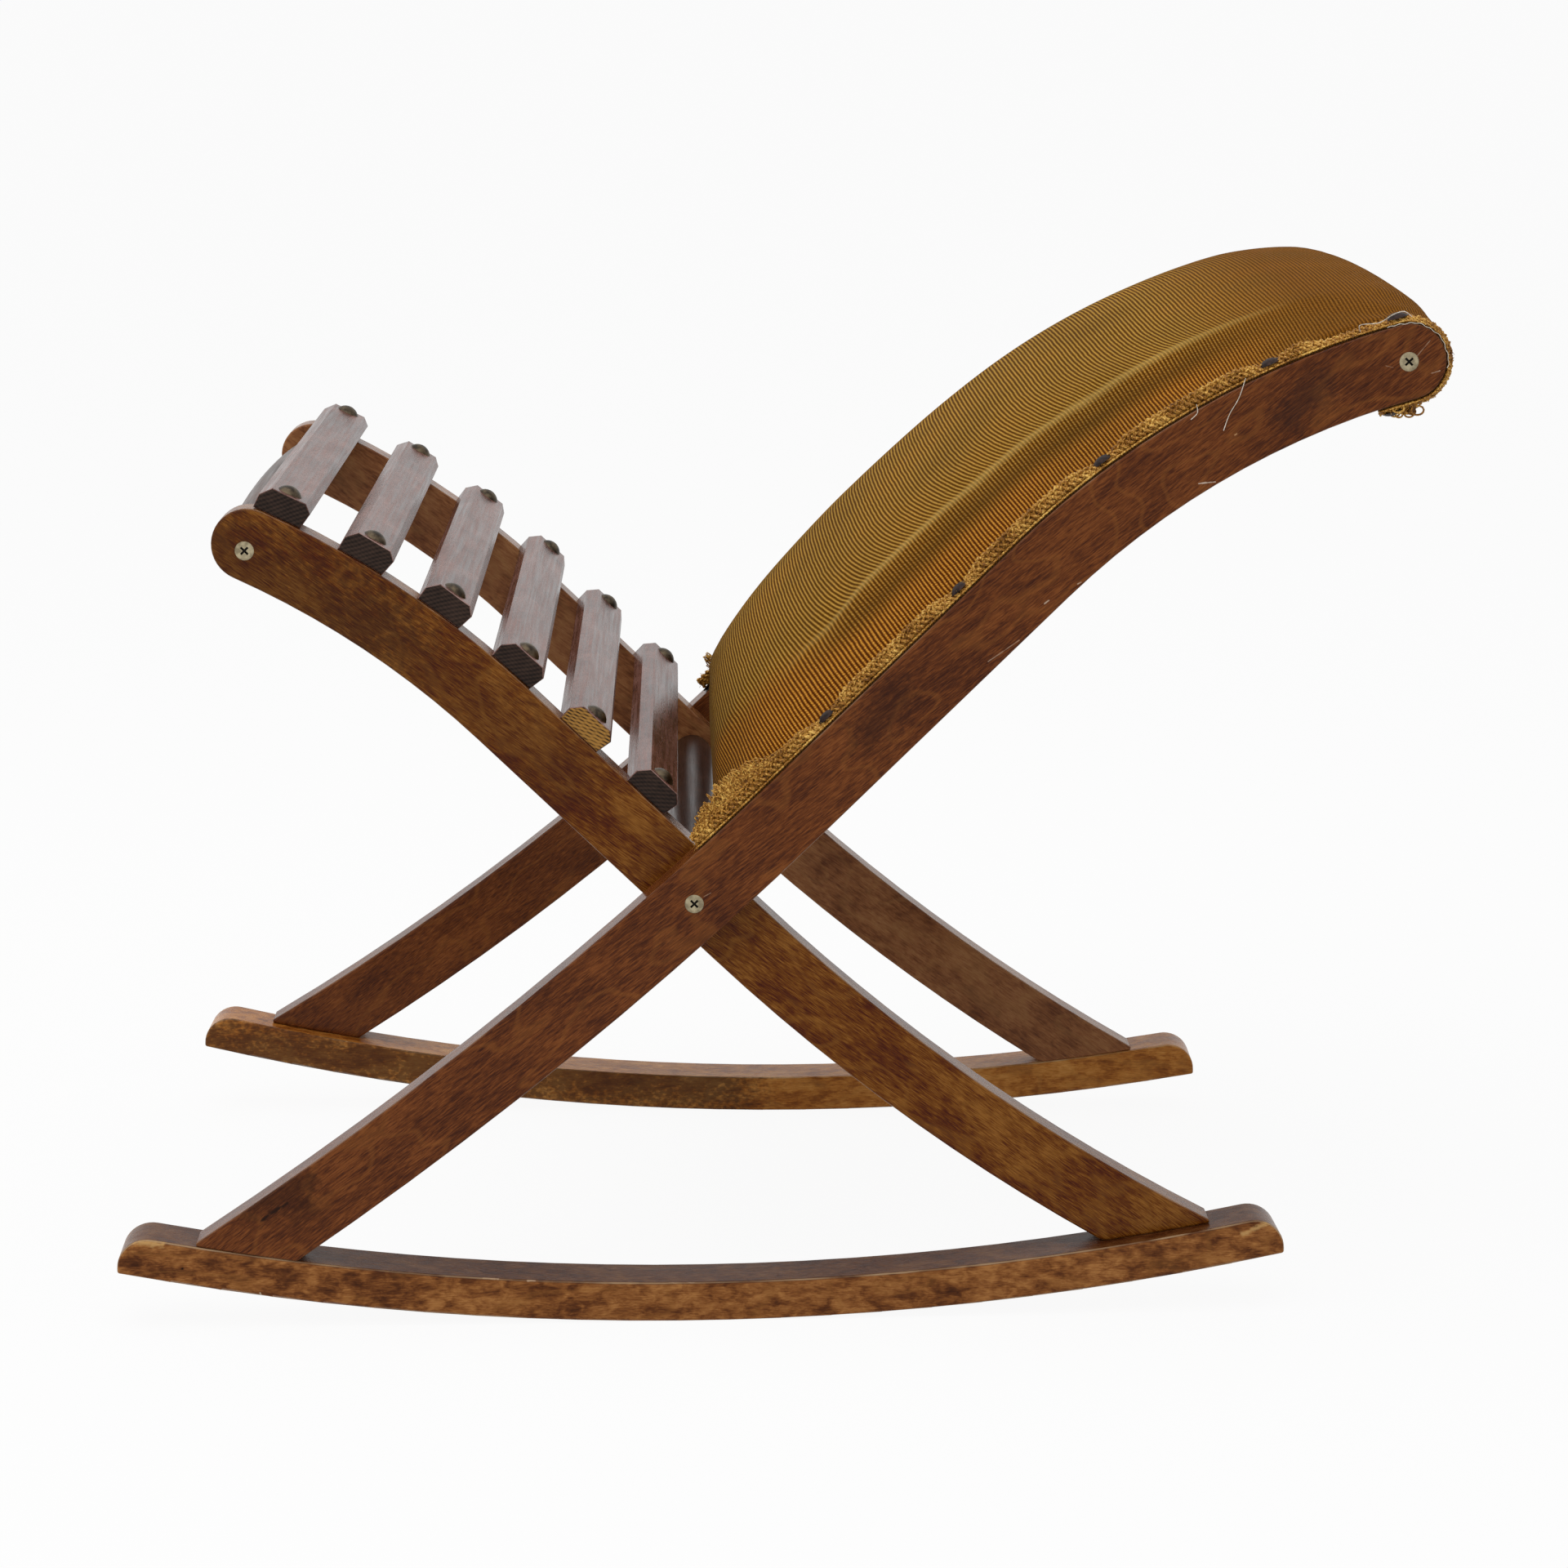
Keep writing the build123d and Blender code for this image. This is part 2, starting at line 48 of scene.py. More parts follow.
view = {
    "place": (-0.0053, -1.9363, 0.6312), "pitchDown": 12.02, "turnRight": 1.49, "lens": 90.0, "reach": 200.0,
}

lamps = {
    "top": {"power": 26.0, "size": 2.6, "place": (-0.3, -0.5, 2.2), "target": (0, 0, 0.2)},
    "front": {"power": 9.0, "size": 2.2, "place": (-1.2, -2.4, 1.1), "target": (0, 0, 0.25)},
}

studio = {"worldLevel": 0.5, "floorRadius": 60.0, "floorShade": "#EDEDED", "floorWhite": 0.93}


def placeCamera():
    camera = bpy.data.objects.new("camera", bpy.data.cameras.new("camera"))
    camera.data.lens = view["lens"]
    camera.data.clip_end = view["reach"]
    camera.location = view["place"]
    camera.rotation_euler = (radians(90 - view["pitchDown"]), 0, radians(-view["turnRight"]))
    bpy.context.scene.collection.objects.link(camera)
    bpy.context.scene.camera = camera


def addLamp(name, look):
    lamp = bpy.data.objects.new(name + "Lamp", bpy.data.lights.new(name + "Lamp", "AREA"))
    lamp.data.energy = look["power"]
    lamp.data.shape = "DISK"
    lamp.data.size = look["size"]
    lamp.location = look["place"]
    aim = Vector(look["target"]) - Vector(look["place"])
    lamp.rotation_euler = aim.to_track_quat("-Z", "Y").to_euler()
    bpy.context.scene.collection.objects.link(lamp)


def linear(hexColour, alpha=1.0):
    channels = [int(hexColour[at:at + 2], 16) / 255 for at in (1, 3, 5)]
    return [c / 12.92 if c < 0.04045 else ((c + 0.055) / 1.055) ** 2.4 for c in channels] + [alpha]


def addNode(tree, kind, inputs=None, **settings):
    node = tree.nodes.new("ShaderNode" + kind)
    for name, value in settings.items():
        setattr(node, name, value)
    for key, value in (inputs or {}).items():
        if isinstance(value, bpy.types.NodeSocket):
            tree.links.new(value, node.inputs[key])
        else:
            node.inputs[key].default_value = value
    return node


def newMaterial(name):
    material = bpy.data.materials.new(name)
    material.use_nodes = True
    material.node_tree.nodes.clear()
    return material, material.node_tree


def finishMaterial(tree, shader):
    addNode(tree, "OutputMaterial", {"Surface": shader.outputs[0]})


def toneRamp(tree, value, stops):
    # a ramp of hex colours or plain levels
    node = addNode(tree, "ValToRGB", {"Fac": value})
    while len(node.color_ramp.elements) < len(stops):
        node.color_ramp.elements.new(0.5)
    for element, (place, colour) in zip(node.color_ramp.elements, stops):
        element.position = place
        element.color = linear(colour) if isinstance(colour, str) else (colour, colour, colour, 1)
    return node.outputs[0]


def grainNoise(tree, coords, long, wide, detail=4.0, roughness=0.55, distortion=0.0):
    # noise stretched along the grain, its size in mm along and across it
    stretched = addNode(tree, "Mapping", {"Vector": coords, "Scale": (1000 / long, 1000 / wide, 1000 / wide)})
    noise = addNode(tree, "TexNoise", {
        "Vector": stretched.outputs[0], "Scale": 1.0, "Detail": detail,
        "Roughness": roughness, "Distortion": distortion,
    })
    return noise.outputs[0]


def mixColour(tree, factor, first, second, blend="MIX"):
    node = addNode(tree, "Mix", {0: factor, 6: first, 7: second}, data_type="RGBA", blend_type=blend)
    return node.outputs[2]


def calculate(tree, operation, *values):
    return addNode(tree, "Math", dict(enumerate(values)), operation=operation).outputs[0]


def vectorStep(tree, operation, first, second):
    return addNode(tree, "VectorMath", {0: first, 1: second}, operation=operation)


def weightedSum(tree, parts):
    total = 0.0
    for value, weight in parts:
        total = calculate(tree, "MULTIPLY_ADD", value, weight, total)
    return total


# stained beech under a thin old varnish: dark strokes and clouds in amber wood, bright only at a low angle
woods = {
    "cushionLeg": {
        "deep": "#3A180A", "dark": "#4E2610", "middle": "#643415", "light": "#7C4620", "ring": "#885224",
        "worn": "#8A6A52", "grainTurn": 38.0, "stroke": (5.0, 0.45),
        "clouds": 0.26, "mottles": 0.04, "streaks": 0.16, "strokes": 0.54,
        "gloss": 0.1, "roughness": 0.22,
    },
    "slatLeg": {
        "deep": "#360D03", "dark": "#4E1D05", "middle": "#6B3B09", "light": "#8E5C24", "ring": "#8A5A22",
        "worn": "#9A7A60", "grainTurn": -36.0, "stroke": (6.0, 0.38),
        "clouds": 0.34, "mottles": 0.16, "streaks": 0.08, "strokes": 0.42,
        "gloss": 0.1, "roughness": 0.22,
    },
    # a lighter copy of the near slat leg's beech: painted light that makes up for the shade the far slat leg
    # stands in
    "farSlatLeg": {
        "deep": "#562E18", "dark": "#704326", "middle": "#885734", "light": "#9C6C44", "ring": "#966A40",
        "worn": "#9A7A60", "grainTurn": -36.0, "stroke": (5.0, 0.6),
        "clouds": 0.34, "mottles": 0.26, "streaks": 0.1, "strokes": 0.3,
        "gloss": 0.1, "roughness": 0.22,
    },
    "rocker": {
        "deep": "#40200F", "dark": "#5E3418", "middle": "#845128", "light": "#AA7440", "ring": "#8A5A2C",
        "worn": "#B79A78", "grainTurn": 0.0, "stroke": (3.6, 0.5),
        "clouds": 0.3, "mottles": 0.42, "streaks": 0.08, "strokes": 0.2,
        "gloss": 0.075, "roughness": 0.24, "topShade": 0.65,
    },
    # a lighter copy of the rocker's beech: painted light that makes up for the shade the far rocker stands in
    "farRocker": {
        "deep": "#6A3A14", "dark": "#90541E", "middle": "#B47432", "light": "#CE924C", "ring": "#BC8442",
        "worn": "#C7A880", "grainTurn": 0.0, "stroke": (3.6, 0.5),
        "clouds": 0.34, "mottles": 0.34, "streaks": 0.1, "strokes": 0.22,
        "gloss": 0.1, "roughness": 0.24,
    },
    "slat": {
        "deep": "#321D18", "dark": "#4A2D26", "middle": "#654138", "light": "#845C52", "ring": "#765048",
        "worn": "#B49A94", "grainTurn": 0.0, "stroke": (5.0, 0.5),
        "clouds": 0.3, "mottles": 0.1, "streaks": 0.34, "strokes": 0.26,
        "gloss": 0.105, "roughness": 0.24,
    },
    "spindle": {
        "deep": "#1C0F0B", "dark": "#301C14", "middle": "#3C261D", "light": "#50352A", "ring": "#50352A",
        "worn": "#6E5A50", "grainTurn": 0.0, "stroke": (4.0, 0.5),
        "clouds": 0.4, "mottles": 0.2, "streaks": 0.2, "strokes": 0.2,
        "gloss": 0.22, "roughness": 0.34,
    },
}

# end grain that shows on the slats' sawn ends: its lines' pitch in mm and the place of the tree's heart
endGrain = {
    "line": "#1B120E", "wood": "#433229", "pitch": 1.9, "rings": 0.26, "ray": 1.0, "rays": 0.12,
    "heart": (0.03, 0.0, 0.09),
}
goldenEnd = {
    "line": "#1E1109", "wood": "#A87A3A", "pitch": 1.5, "rings": 0.4, "ray": 1.1, "rays": 0.3,
    "heart": (0.1, 0.0, -0.14),
}

# marks on the near faces, as points in mm along X and Z: old scars, scratches, rubbed ends and a pin hole,
# and broad darker bands
cushionLegMarks = [
    {"from": (-203.1, 52.9), "to": (-190.8, 61.2), "width": 1.2, "colour": "#120804", "share": 0.95},
    {"from": (-207.0, 60.0), "to": (-184.0, 70.0), "width": 12.0, "colour": "#2E1305", "share": 0.6},
    {"from": (-186.0, 54.0), "to": (-180.0, 58.0), "width": 8.0, "colour": "#3A1A08", "share": 0.5},
    {"from": (80.0, 284.0), "to": (92.0, 300.0), "width": 14.0, "colour": "#2A120A", "share": 0.55},
    {"from": (268.0, 428.0), "to": (280.0, 440.0), "width": 12.0, "colour": "#2A1712", "share": 0.5},
    {"from": (132.8, 315.3), "to": (146.7, 325.0), "width": 0.35, "colour": "#A98A72", "share": 0.8},
    {"from": (158.0, 341.8), "to": (160.0, 343.2), "width": 0.5, "colour": "#C0A890", "share": 0.9},
    {"from": (173.0, 350.7), "to": (174.4, 351.5), "width": 0.45, "colour": "#C0A890", "share": 0.9},
    {"from": (226.8, 396.2), "to": (234.2, 396.9), "width": 0.4, "colour": "#C9B6A4", "share": 0.9},
    {"from": (242.6, 418.0), "to": (243.4, 418.6), "width": 0.5, "colour": "#D2A678", "share": 0.9},
    {"from": (323.4, 453.2), "to": (329.1, 460.1), "width": 0.3, "colour": "#A98A72", "share": 0.7},
    {"from": (330.3, 445.5), "to": (333.9, 446.6), "width": 0.35, "colour": "#B89C86", "share": 0.8},
    {"from": (309.6, 448.9), "to": (312.9, 448.1), "width": 0.3, "colour": "#9A7A62", "share": 0.7},
    {"from": (3.4, 206.4), "to": (6.6, 208.2), "width": 0.3, "colour": "#A98A72", "share": 0.8},
]
# broad darker bands along the upper part of the near slat leg's face
slatLegMarks = [
    {"from": (-245.0, 374.0), "to": (-150.0, 330.0), "width": 36.0, "colour": "#2E1608", "share": 0.5},
    {"from": (-150.0, 330.0), "to": (-60.0, 262.0), "width": 30.0, "colour": "#3A1C0A", "share": 0.35},
]
# a broad darker band along the far rocker's face, from its left end towards the middle
farRockerMarks = [
    {"from": (-270.0, 34.0), "to": (10.0, 16.0), "width": 34.0, "colour": "#3E2212", "share": 0.75},
]
rockerMarks = [
    {"from": (-264.0, 43.4), "to": (-249.0, 41.6), "width": 1.6, "colour": "#C49A62", "share": 0.85},
    {"from": (-268.0, 26.0), "to": (-262.0, 23.0), "width": 1.0, "colour": "#C49A62", "share": 0.6},
    {"from": (257.0, 38.8), "to": (270.5, 45.0), "width": 1.6, "colour": "#C49A62", "share": 0.8},
    {"from": (-240.3, 30.0), "to": (-240.2, 30.0), "width": 0.9, "colour": "#120804", "share": 1.0},
    {"from": (-100.6, 22.9), "to": (-93.7, 22.3), "width": 0.6, "colour": "#C6A888", "share": 0.8},
    {"from": (-80.0, 21.4), "to": (-76.5, 21.2), "width": 0.6, "colour": "#C6A888", "share": 0.8},
    {"from": (-13.4, 19.4), "to": (-1.9, 19.3), "width": 0.6, "colour": "#C6A888", "share": 0.8},
    {"from": (-204.6, 17.5), "to": (-204.0, 14.0), "width": 0.5, "colour": "#D8C4A8", "share": 0.9},
]


def markShare(tree, place, wobble, mark):
    # 1 on the line between the mark's two points, fading out over its width
    start = Vector((mark["from"][0], 0, mark["from"][1])) * mm
    run = Vector((mark["to"][0], 0, mark["to"][1])) * mm - start
    flat = vectorStep(tree, "MULTIPLY", place, (1, 0, 1)).outputs[0]
    fromStart = vectorStep(tree, "SUBTRACT", flat, start).outputs[0]
    along = vectorStep(tree, "DOT_PRODUCT", fromStart, run / run.length_squared).outputs["Value"]
    held = addNode(tree, "Clamp", {0: along}).outputs[0]
    nearest = addNode(tree, "VectorMath", {0: run, "Scale": held}, operation="SCALE").outputs[0]
    away = vectorStep(tree, "DISTANCE", fromStart, nearest).outputs["Value"]
    away = calculate(tree, "MULTIPLY_ADD", wobble, mark["width"] * mm * 2.4, away)
    level = addNode(tree, "MapRange", {
        "Value": away, "From Min": mark["width"] * mm * 0.2, "From Max": mark["width"] * mm,
        "To Min": mark["share"], "To Max": 0.0,
    })
    return level.outputs[0]


def beech(name, look, seed, alongY=False, marks=(), ends=None):
    material, tree = newMaterial(name)
    place = addNode(tree, "TexCoord").outputs["Object"]
    turn = (0, 0, radians(-90)) if alongY else (0, radians(look["grainTurn"]), 0)  # x runs along the grain
    coords = addNode(tree, "Mapping", {
        "Vector": place, "Location": (seed * 0.37, seed * 0.61, seed * 0.23), "Rotation": turn,
    }).outputs[0]
    clouds = grainNoise(tree, coords, 46.0, 24.0, 3.0, 0.6, 0.6)
    mottles = grainNoise(tree, coords, 9.0, 5.0, 3.0, 0.65, 0.4)
    streaks = grainNoise(tree, coords, 60.0, 1.7, 4.0, 0.6)
    strokes = grainNoise(tree, coords, *look["stroke"], 2.0, 0.6)
    tone = weightedSum(tree, [
        (clouds, look["clouds"]), (mottles, look["mottles"]),
        (streaks, look["streaks"]), (strokes, look["strokes"]),
    ])
    base = toneRamp(tree, tone, [
        (0.36, look["deep"]), (0.44, look["dark"]), (0.51, look["middle"]), (0.6, look["light"]),
    ])
    # growth rings cut at a slant: a few paler arcs
    growth = grainNoise(tree, coords, 80.0, 40.0, 2.0, 0.5)
    rings = calculate(tree, "SINE", calculate(tree, "MULTIPLY", growth, 40.0))
    base = mixColour(tree, toneRamp(tree, rings, [(0.8, 0.0), (1.0, 0.3)]), base, linear(look["ring"]))
    normal = addNode(tree, "SeparateXYZ", {"Vector": addNode(tree, "NewGeometry").outputs["Normal"]}).outputs
    tilt = calculate(tree, "ABSOLUTE", normal["Y"])
    if ends:
        heartwood = addNode(tree, "Mapping", {"Vector": place, "Location": ends["heart"]})
        lines = [
            addNode(tree, "TexWave", {
                "Vector": heartwood.outputs[0], "Scale": 2 * pi / 20 * 1000 / pitch,
                "Distortion": 4.0, "Detail": 2.0, "Detail Scale": 0.25,
            }, **shape).outputs[1]
            for pitch, shape in (
                (ends["pitch"], {"wave_type": "RINGS", "rings_direction": "Y"}),
                (ends["ray"], {"wave_type": "BANDS", "bands_direction": "DIAGONAL"}),
            )
        ]
        sawnTone = weightedSum(tree, [
            (lines[0], ends["rings"]), (lines[1], ends["rays"]), (clouds, 0.5), (mottles, 0.4),
        ])
        sawn = toneRamp(tree, sawnTone, [(0.45, ends["line"]), (0.95, ends["wood"])])
        base = mixColour(tree, calculate(tree, "GREATER_THAN", tilt, 0.85), base, sawn)
    if "topShade" in look:
        # painted shade: the upward faces are darkened by the way they face
        level = addNode(tree, "MapRange", {
            "Value": normal["Z"], "From Min": 0.3, "From Max": 0.8, "To Min": 0.0, "To Max": look["topShade"],
        })
        base = mixColour(tree, level.outputs[0], base, linear(woods["cushionLeg"]["deep"]))
    # the arrises are rubbed paler: there the surface faces neither straight out nor straight along
    straight = calculate(tree, "SUBTRACT", 1.0, tilt)
    rounded = calculate(tree, "MULTIPLY", calculate(tree, "MULTIPLY", tilt, 4.0), straight)
    rubbed = toneRamp(tree, calculate(tree, "MULTIPLY", rounded, clouds), [(0.34, 0.0), (0.6, 0.75)])
    base = mixColour(tree, rubbed, base, linear(look["worn"]))
    if marks:
        nearSide = calculate(tree, "LESS_THAN", normal["Y"], -0.25)
        wobble = calculate(tree, "SUBTRACT", grainNoise(tree, coords, 3.0, 2.0), 0.5)
        for mark in marks:
            share = calculate(tree, "MULTIPLY", markShare(tree, place, wobble, mark), nearSide)
            base = mixColour(tree, share, base, linear(mark["colour"]))
    rough = addNode(tree, "MapRange", {
        "Value": streaks, "From Min": 0.3, "From Max": 0.7,
        "To Min": look["roughness"] - 0.05, "To Max": look["roughness"] + 0.1,
    })
    bump = addNode(tree, "Bump", {"Height": strokes, "Strength": 0.3, "Distance": 0.0002})
    shader = addNode(tree, "BsdfPrincipled", {
        "Base Color": base, "Roughness": rough.outputs[0], "Normal": bump.outputs[0],
        "IOR": 1.5, "Specular IOR Level": look["gloss"],
    })
    finishMaterial(tree, shader)
    return material


metals = {
    "patinatedBrass": {"dark": "#2C241B", "light": "#564A39", "roughness": 0.34, "patina": 3.4},
    "blackenedIron": {"dark": "#180F0D", "light": "#33231F", "roughness": 0.42, "patina": 2.4},
    "screwBrass": {"dark": "#7E735C", "light": "#A79B7E", "roughness": 0.3, "patina": 3.0},
}


def nailMetal(name, look, slots=()):
    # plated steel and brass gone dull: near black in the hollows, worn lighter on the dome
    material, tree = newMaterial(name)
    place = addNode(tree, "TexCoord").outputs["Object"]
    patina = addNode(tree, "TexNoise", {
        "Vector": place, "Scale": 1000 / look["patina"], "Detail": 3.0,
    }).outputs[0]
    colour = toneRamp(tree, patina, [(0.38, look["dark"]), (0.62, look["light"])])
    for low, high in slots:
        # grime in the cross slots, below the heads' faces
        depth = calculate(tree, "ABSOLUTE", addNode(tree, "SeparateXYZ", {"Vector": place}).outputs["Y"])
        above = calculate(tree, "GREATER_THAN", depth, low * mm)
        inside = calculate(tree, "MULTIPLY", above, calculate(tree, "LESS_THAN", depth, high * mm))
        colour = mixColour(tree, inside, colour, linear("#15110C"))
    rough = addNode(tree, "MapRange", {
        "Value": patina, "To Min": look["roughness"], "To Max": look["roughness"] + 0.2,
    })
    bump = addNode(tree, "Bump", {"Height": patina, "Strength": 0.3, "Distance": 0.0002})
    shader = addNode(tree, "BsdfPrincipled", {
        "Base Color": colour, "Metallic": 0.85, "Roughness": rough.outputs[0], "Normal": bump.outputs[0],
    })
    finishMaterial(tree, shader)
    return material


# ribbed cotton velvet, sizes in mm: soft nubbed ribs across the seat, painted shade between them, more orange
# at the sides
velvet = {
    "ribPitch": 1.9, "nubPitch": 1.6, "ribDepth": 0.8,
    "nubLean": 0.55, "ribOffset": 0.37, "nubUneven": 1.6, "nubDepth": 0.22,
    "heights": (0.1, 0.45, 0.9),  # trough, flank and crown of a rib
    # each band's colours run from a dark trough, painted shade between the ribs, to a pale crown, the pile's
    # own colour with a painted highlight
    "top": ("#5A3606", "#9C6C24", "#DCAE50"),
    "side": ("#4E2202", "#A0601A", "#E0A03E"),
    "end": ("#452405", "#805018", "#B87A2C"),
    # front is painted shade on the steep front wall
    "front": "#4A3010", "crease": "#D2AE62", "creaseWidth": 4.0,
    # hollow is painted shade in the shoulder hollow; crease, on the line above, is a painted highlight along
    # the shoulder ridge
    "hollow": "#4E3410", "hollowAt": 145.0, "hollowWidth": 11.0,
    "alongCells": 96, "acrossCells": 88,
}


def ribbedVelvet():
    material, tree = newMaterial("ribbedVelvet")
    cloth = addNode(tree, "UVMap", uv_map="cloth").outputs[0]
    split = addNode(tree, "SeparateXYZ", {"Vector": cloth})
    along, across = split.outputs["X"], split.outputs["Y"]
    wander = addNode(tree, "TexNoise", {"Vector": cloth, "Scale": 60.0, "Detail": 2.0}).outputs[0]
    wavy = calculate(tree, "MULTIPLY_ADD", wander, 0.0009, along)
    ribAt = calculate(tree, "MULTIPLY", wavy, 1000 / velvet["ribPitch"])
    ribNumber = calculate(tree, "FLOOR", ribAt)
    ribShare = calculate(tree, "FRACT", ribAt)
    wave = calculate(tree, "COSINE", calculate(tree, "MULTIPLY", ribAt, 2 * pi))
    rib = calculate(tree, "MULTIPLY_ADD", wave, -0.5, 0.5)
    # each rib's nubs lean like the turns of a cord, and start at their own place
    offset = calculate(tree, "MULTIPLY", ribNumber, velvet["ribOffset"])
    lean = calculate(tree, "MULTIPLY_ADD", ribShare, velvet["nubLean"], offset)
    uneven = addNode(tree, "TexNoise", {"Vector": cloth, "Scale": 350.0, "Detail": 1.0}).outputs[0]
    lean = calculate(tree, "MULTIPLY_ADD", uneven, velvet["nubUneven"], lean)
    nubAt = calculate(tree, "MULTIPLY_ADD", across, 1000 / velvet["nubPitch"], lean)
    nub = calculate(tree, "SINE", calculate(tree, "MULTIPLY", nubAt, 2 * pi))
    nubbed = calculate(tree, "MULTIPLY_ADD", nub, velvet["nubDepth"], 1 - velvet["nubDepth"])
    height = calculate(tree, "MULTIPLY", rib, nubbed)
    # the pile is rubbed down towards the round end: there the ribs nearly vanish
    endBand = addNode(tree, "Attribute", attribute_name="endBand").outputs["Fac"]
    kept = calculate(tree, "MULTIPLY_ADD", endBand, -0.45, 1.0)
    height = calculate(tree, "MULTIPLY_ADD", calculate(tree, "SUBTRACT", height, 0.42), kept, 0.42)
    fuzz = addNode(tree, "TexNoise", {
        "Vector": cloth, "Scale": 1100.0, "Detail": 3.0, "Roughness": 0.7,
    }).outputs[0]
    height = calculate(tree, "MULTIPLY_ADD", calculate(tree, "SUBTRACT", fuzz, 0.5), 1.0, height)
    # the rib height picks the colour: painted shade in the troughs, a painted highlight on the crowns
    bands = {
        band: toneRamp(tree, height, list(zip(velvet["heights"], velvet[band])))
        for band in ("top", "side", "end")
    }
    fade = addNode(tree, "TexNoise", {"Vector": cloth, "Scale": 16.0, "Detail": 4.0}).outputs[0]
    ragged = calculate(tree, "MULTIPLY", calculate(tree, "SUBTRACT", fade, 0.5), 0.7)
    colour = bands["top"]
    for band in ("side", "end"):
        share = addNode(tree, "Attribute", attribute_name=band + "Band").outputs["Fac"]
        held = addNode(tree, "Clamp", {0: calculate(tree, "ADD", ragged, share)}).outputs[0]
        colour = mixColour(tree, held, colour, bands[band])
    fromMiddle = addNode(tree, "Attribute", attribute_name="fromMiddle").outputs["Fac"]
    fold = addNode(tree, "Attribute", attribute_name="fold").outputs["Fac"]
    # painted shade in the shoulder hollow and a painted highlight along its ridge, both where the fold is
    for tint, middle, width, level in (
        ("hollow", velvet["hollowAt"], velvet["hollowWidth"], 0.62),
        ("crease", seat["creaseAt"], velvet["creaseWidth"], 0.5),
    ):
        away = calculate(tree, "ABSOLUTE", calculate(tree, "SUBTRACT", fromMiddle, middle * mm))
        share = addNode(tree, "MapRange", {
            "Value": away, "From Max": width * mm, "To Min": level, "To Max": 0.0,
        }).outputs[0]
        colour = mixColour(tree, calculate(tree, "MULTIPLY", share, fold), colour, linear(velvet[tint]))
    # painted shade darkens the steep front wall
    front = addNode(tree, "Attribute", attribute_name="frontShadeBand").outputs["Fac"]
    colour = mixColour(tree, calculate(tree, "MULTIPLY", front, 0.7), colour, linear(velvet["front"]))
    worn = addNode(tree, "MapRange", {
        "Value": fade, "From Min": 0.3, "From Max": 0.7, "To Min": 0.84, "To Max": 1.14,
    })
    shade = addNode(tree, "CombineColor", {0: worn.outputs[0], 1: worn.outputs[0], 2: worn.outputs[0]})
    colour = mixColour(tree, 1.0, colour, shade.outputs[0], "MULTIPLY")
    bump = addNode(tree, "Bump", {"Height": height, "Strength": 1.0, "Distance": velvet["ribDepth"] * mm})
    shader = addNode(tree, "BsdfPrincipled", {
        "Base Color": colour, "Roughness": 0.9, "Normal": bump.outputs[0], "Specular IOR Level": 0.05,
        "Sheen Weight": 0.06, "Sheen Roughness": 0.4, "Sheen Tint": linear("#E2B862"),
    })
    finishMaterial(tree, shader)
    return material


# coarse plain weaves under the seat, their thread pitch in mm
weaves = {
    "hessian": {"thread": "#A48D68", "gap": "#3D2E1E", "pitch": 1.6},
    "juteWebbing": {"thread": "#B09A70", "gap": "#4A3824", "pitch": 2.2},
    # turnedVelvetPaintedShade is dark as painted shade under the braid
    "turnedVelvetPaintedShade": {"thread": "#6A4312", "gap": "#2A1806", "pitch": 1.2},
}


def wovenCloth(name):
    look = weaves[name]
    material, tree = newMaterial(name)
    place = addNode(tree, "TexCoord").outputs["Object"]
    threads = [
        addNode(tree, "TexWave", {
            "Vector": place, "Scale": 2 * pi / 20 * 1000 / look["pitch"], "Distortion": 0.6,
        }, bands_direction=axis).outputs[1]
        for axis in ("X", "Y")
    ]
    height = calculate(tree, "MULTIPLY", *threads)
    colour = toneRamp(tree, height, [(0.05, look["gap"]), (0.7, look["thread"])])
    bump = addNode(tree, "Bump", {"Height": height, "Strength": 0.7, "Distance": 0.0004})
    shader = addNode(tree, "BsdfPrincipled", {
        "Base Color": colour, "Roughness": 0.9, "Normal": bump.outputs[0], "Specular IOR Level": 0.1,
    })
    finishMaterial(tree, shader)
    return material


yarns = {
    "rayonGimp": {"dark": "#5A3406", "middle": "#A8701E", "light": "#F4CA6C"},
    "rawCotton": {"dark": "#A99A88", "middle": "#D2C6B4", "light": "#EEE6DA"},
}


def yarn(name):
    # twisted yarn, fuzzy and a little lustrous: its colour holds painted highlights and painted shade, darker
    # where its fibres turn away
    look = yarns[name]
    material, tree = newMaterial(name)
    place = addNode(tree, "TexCoord").outputs["Object"]
    fibre = addNode(tree, "TexNoise", {
        "Vector": place, "Scale": 1100.0, "Detail": 3.0, "Roughness": 0.7,
    }).outputs[0]
    tuft = addNode(tree, "TexNoise", {"Vector": place, "Scale": 110.0, "Detail": 2.0}).outputs[0]
    tone = weightedSum(tree, [(fibre, 0.7), (tuft, 0.3)])
    # the dark tone is painted shade between the fibres, the light tone a painted highlight
    colour = toneRamp(tree, tone, [(0.38, look["dark"]), (0.5, look["middle"]), (0.62, look["light"])])
    bump = addNode(tree, "Bump", {"Height": fibre, "Strength": 0.7, "Distance": 0.0003})
    shader = addNode(tree, "BsdfPrincipled", {
        "Base Color": colour, "Roughness": 0.5, "Normal": bump.outputs[0], "Specular IOR Level": 0.3,
    })
    finishMaterial(tree, shader)
    return material


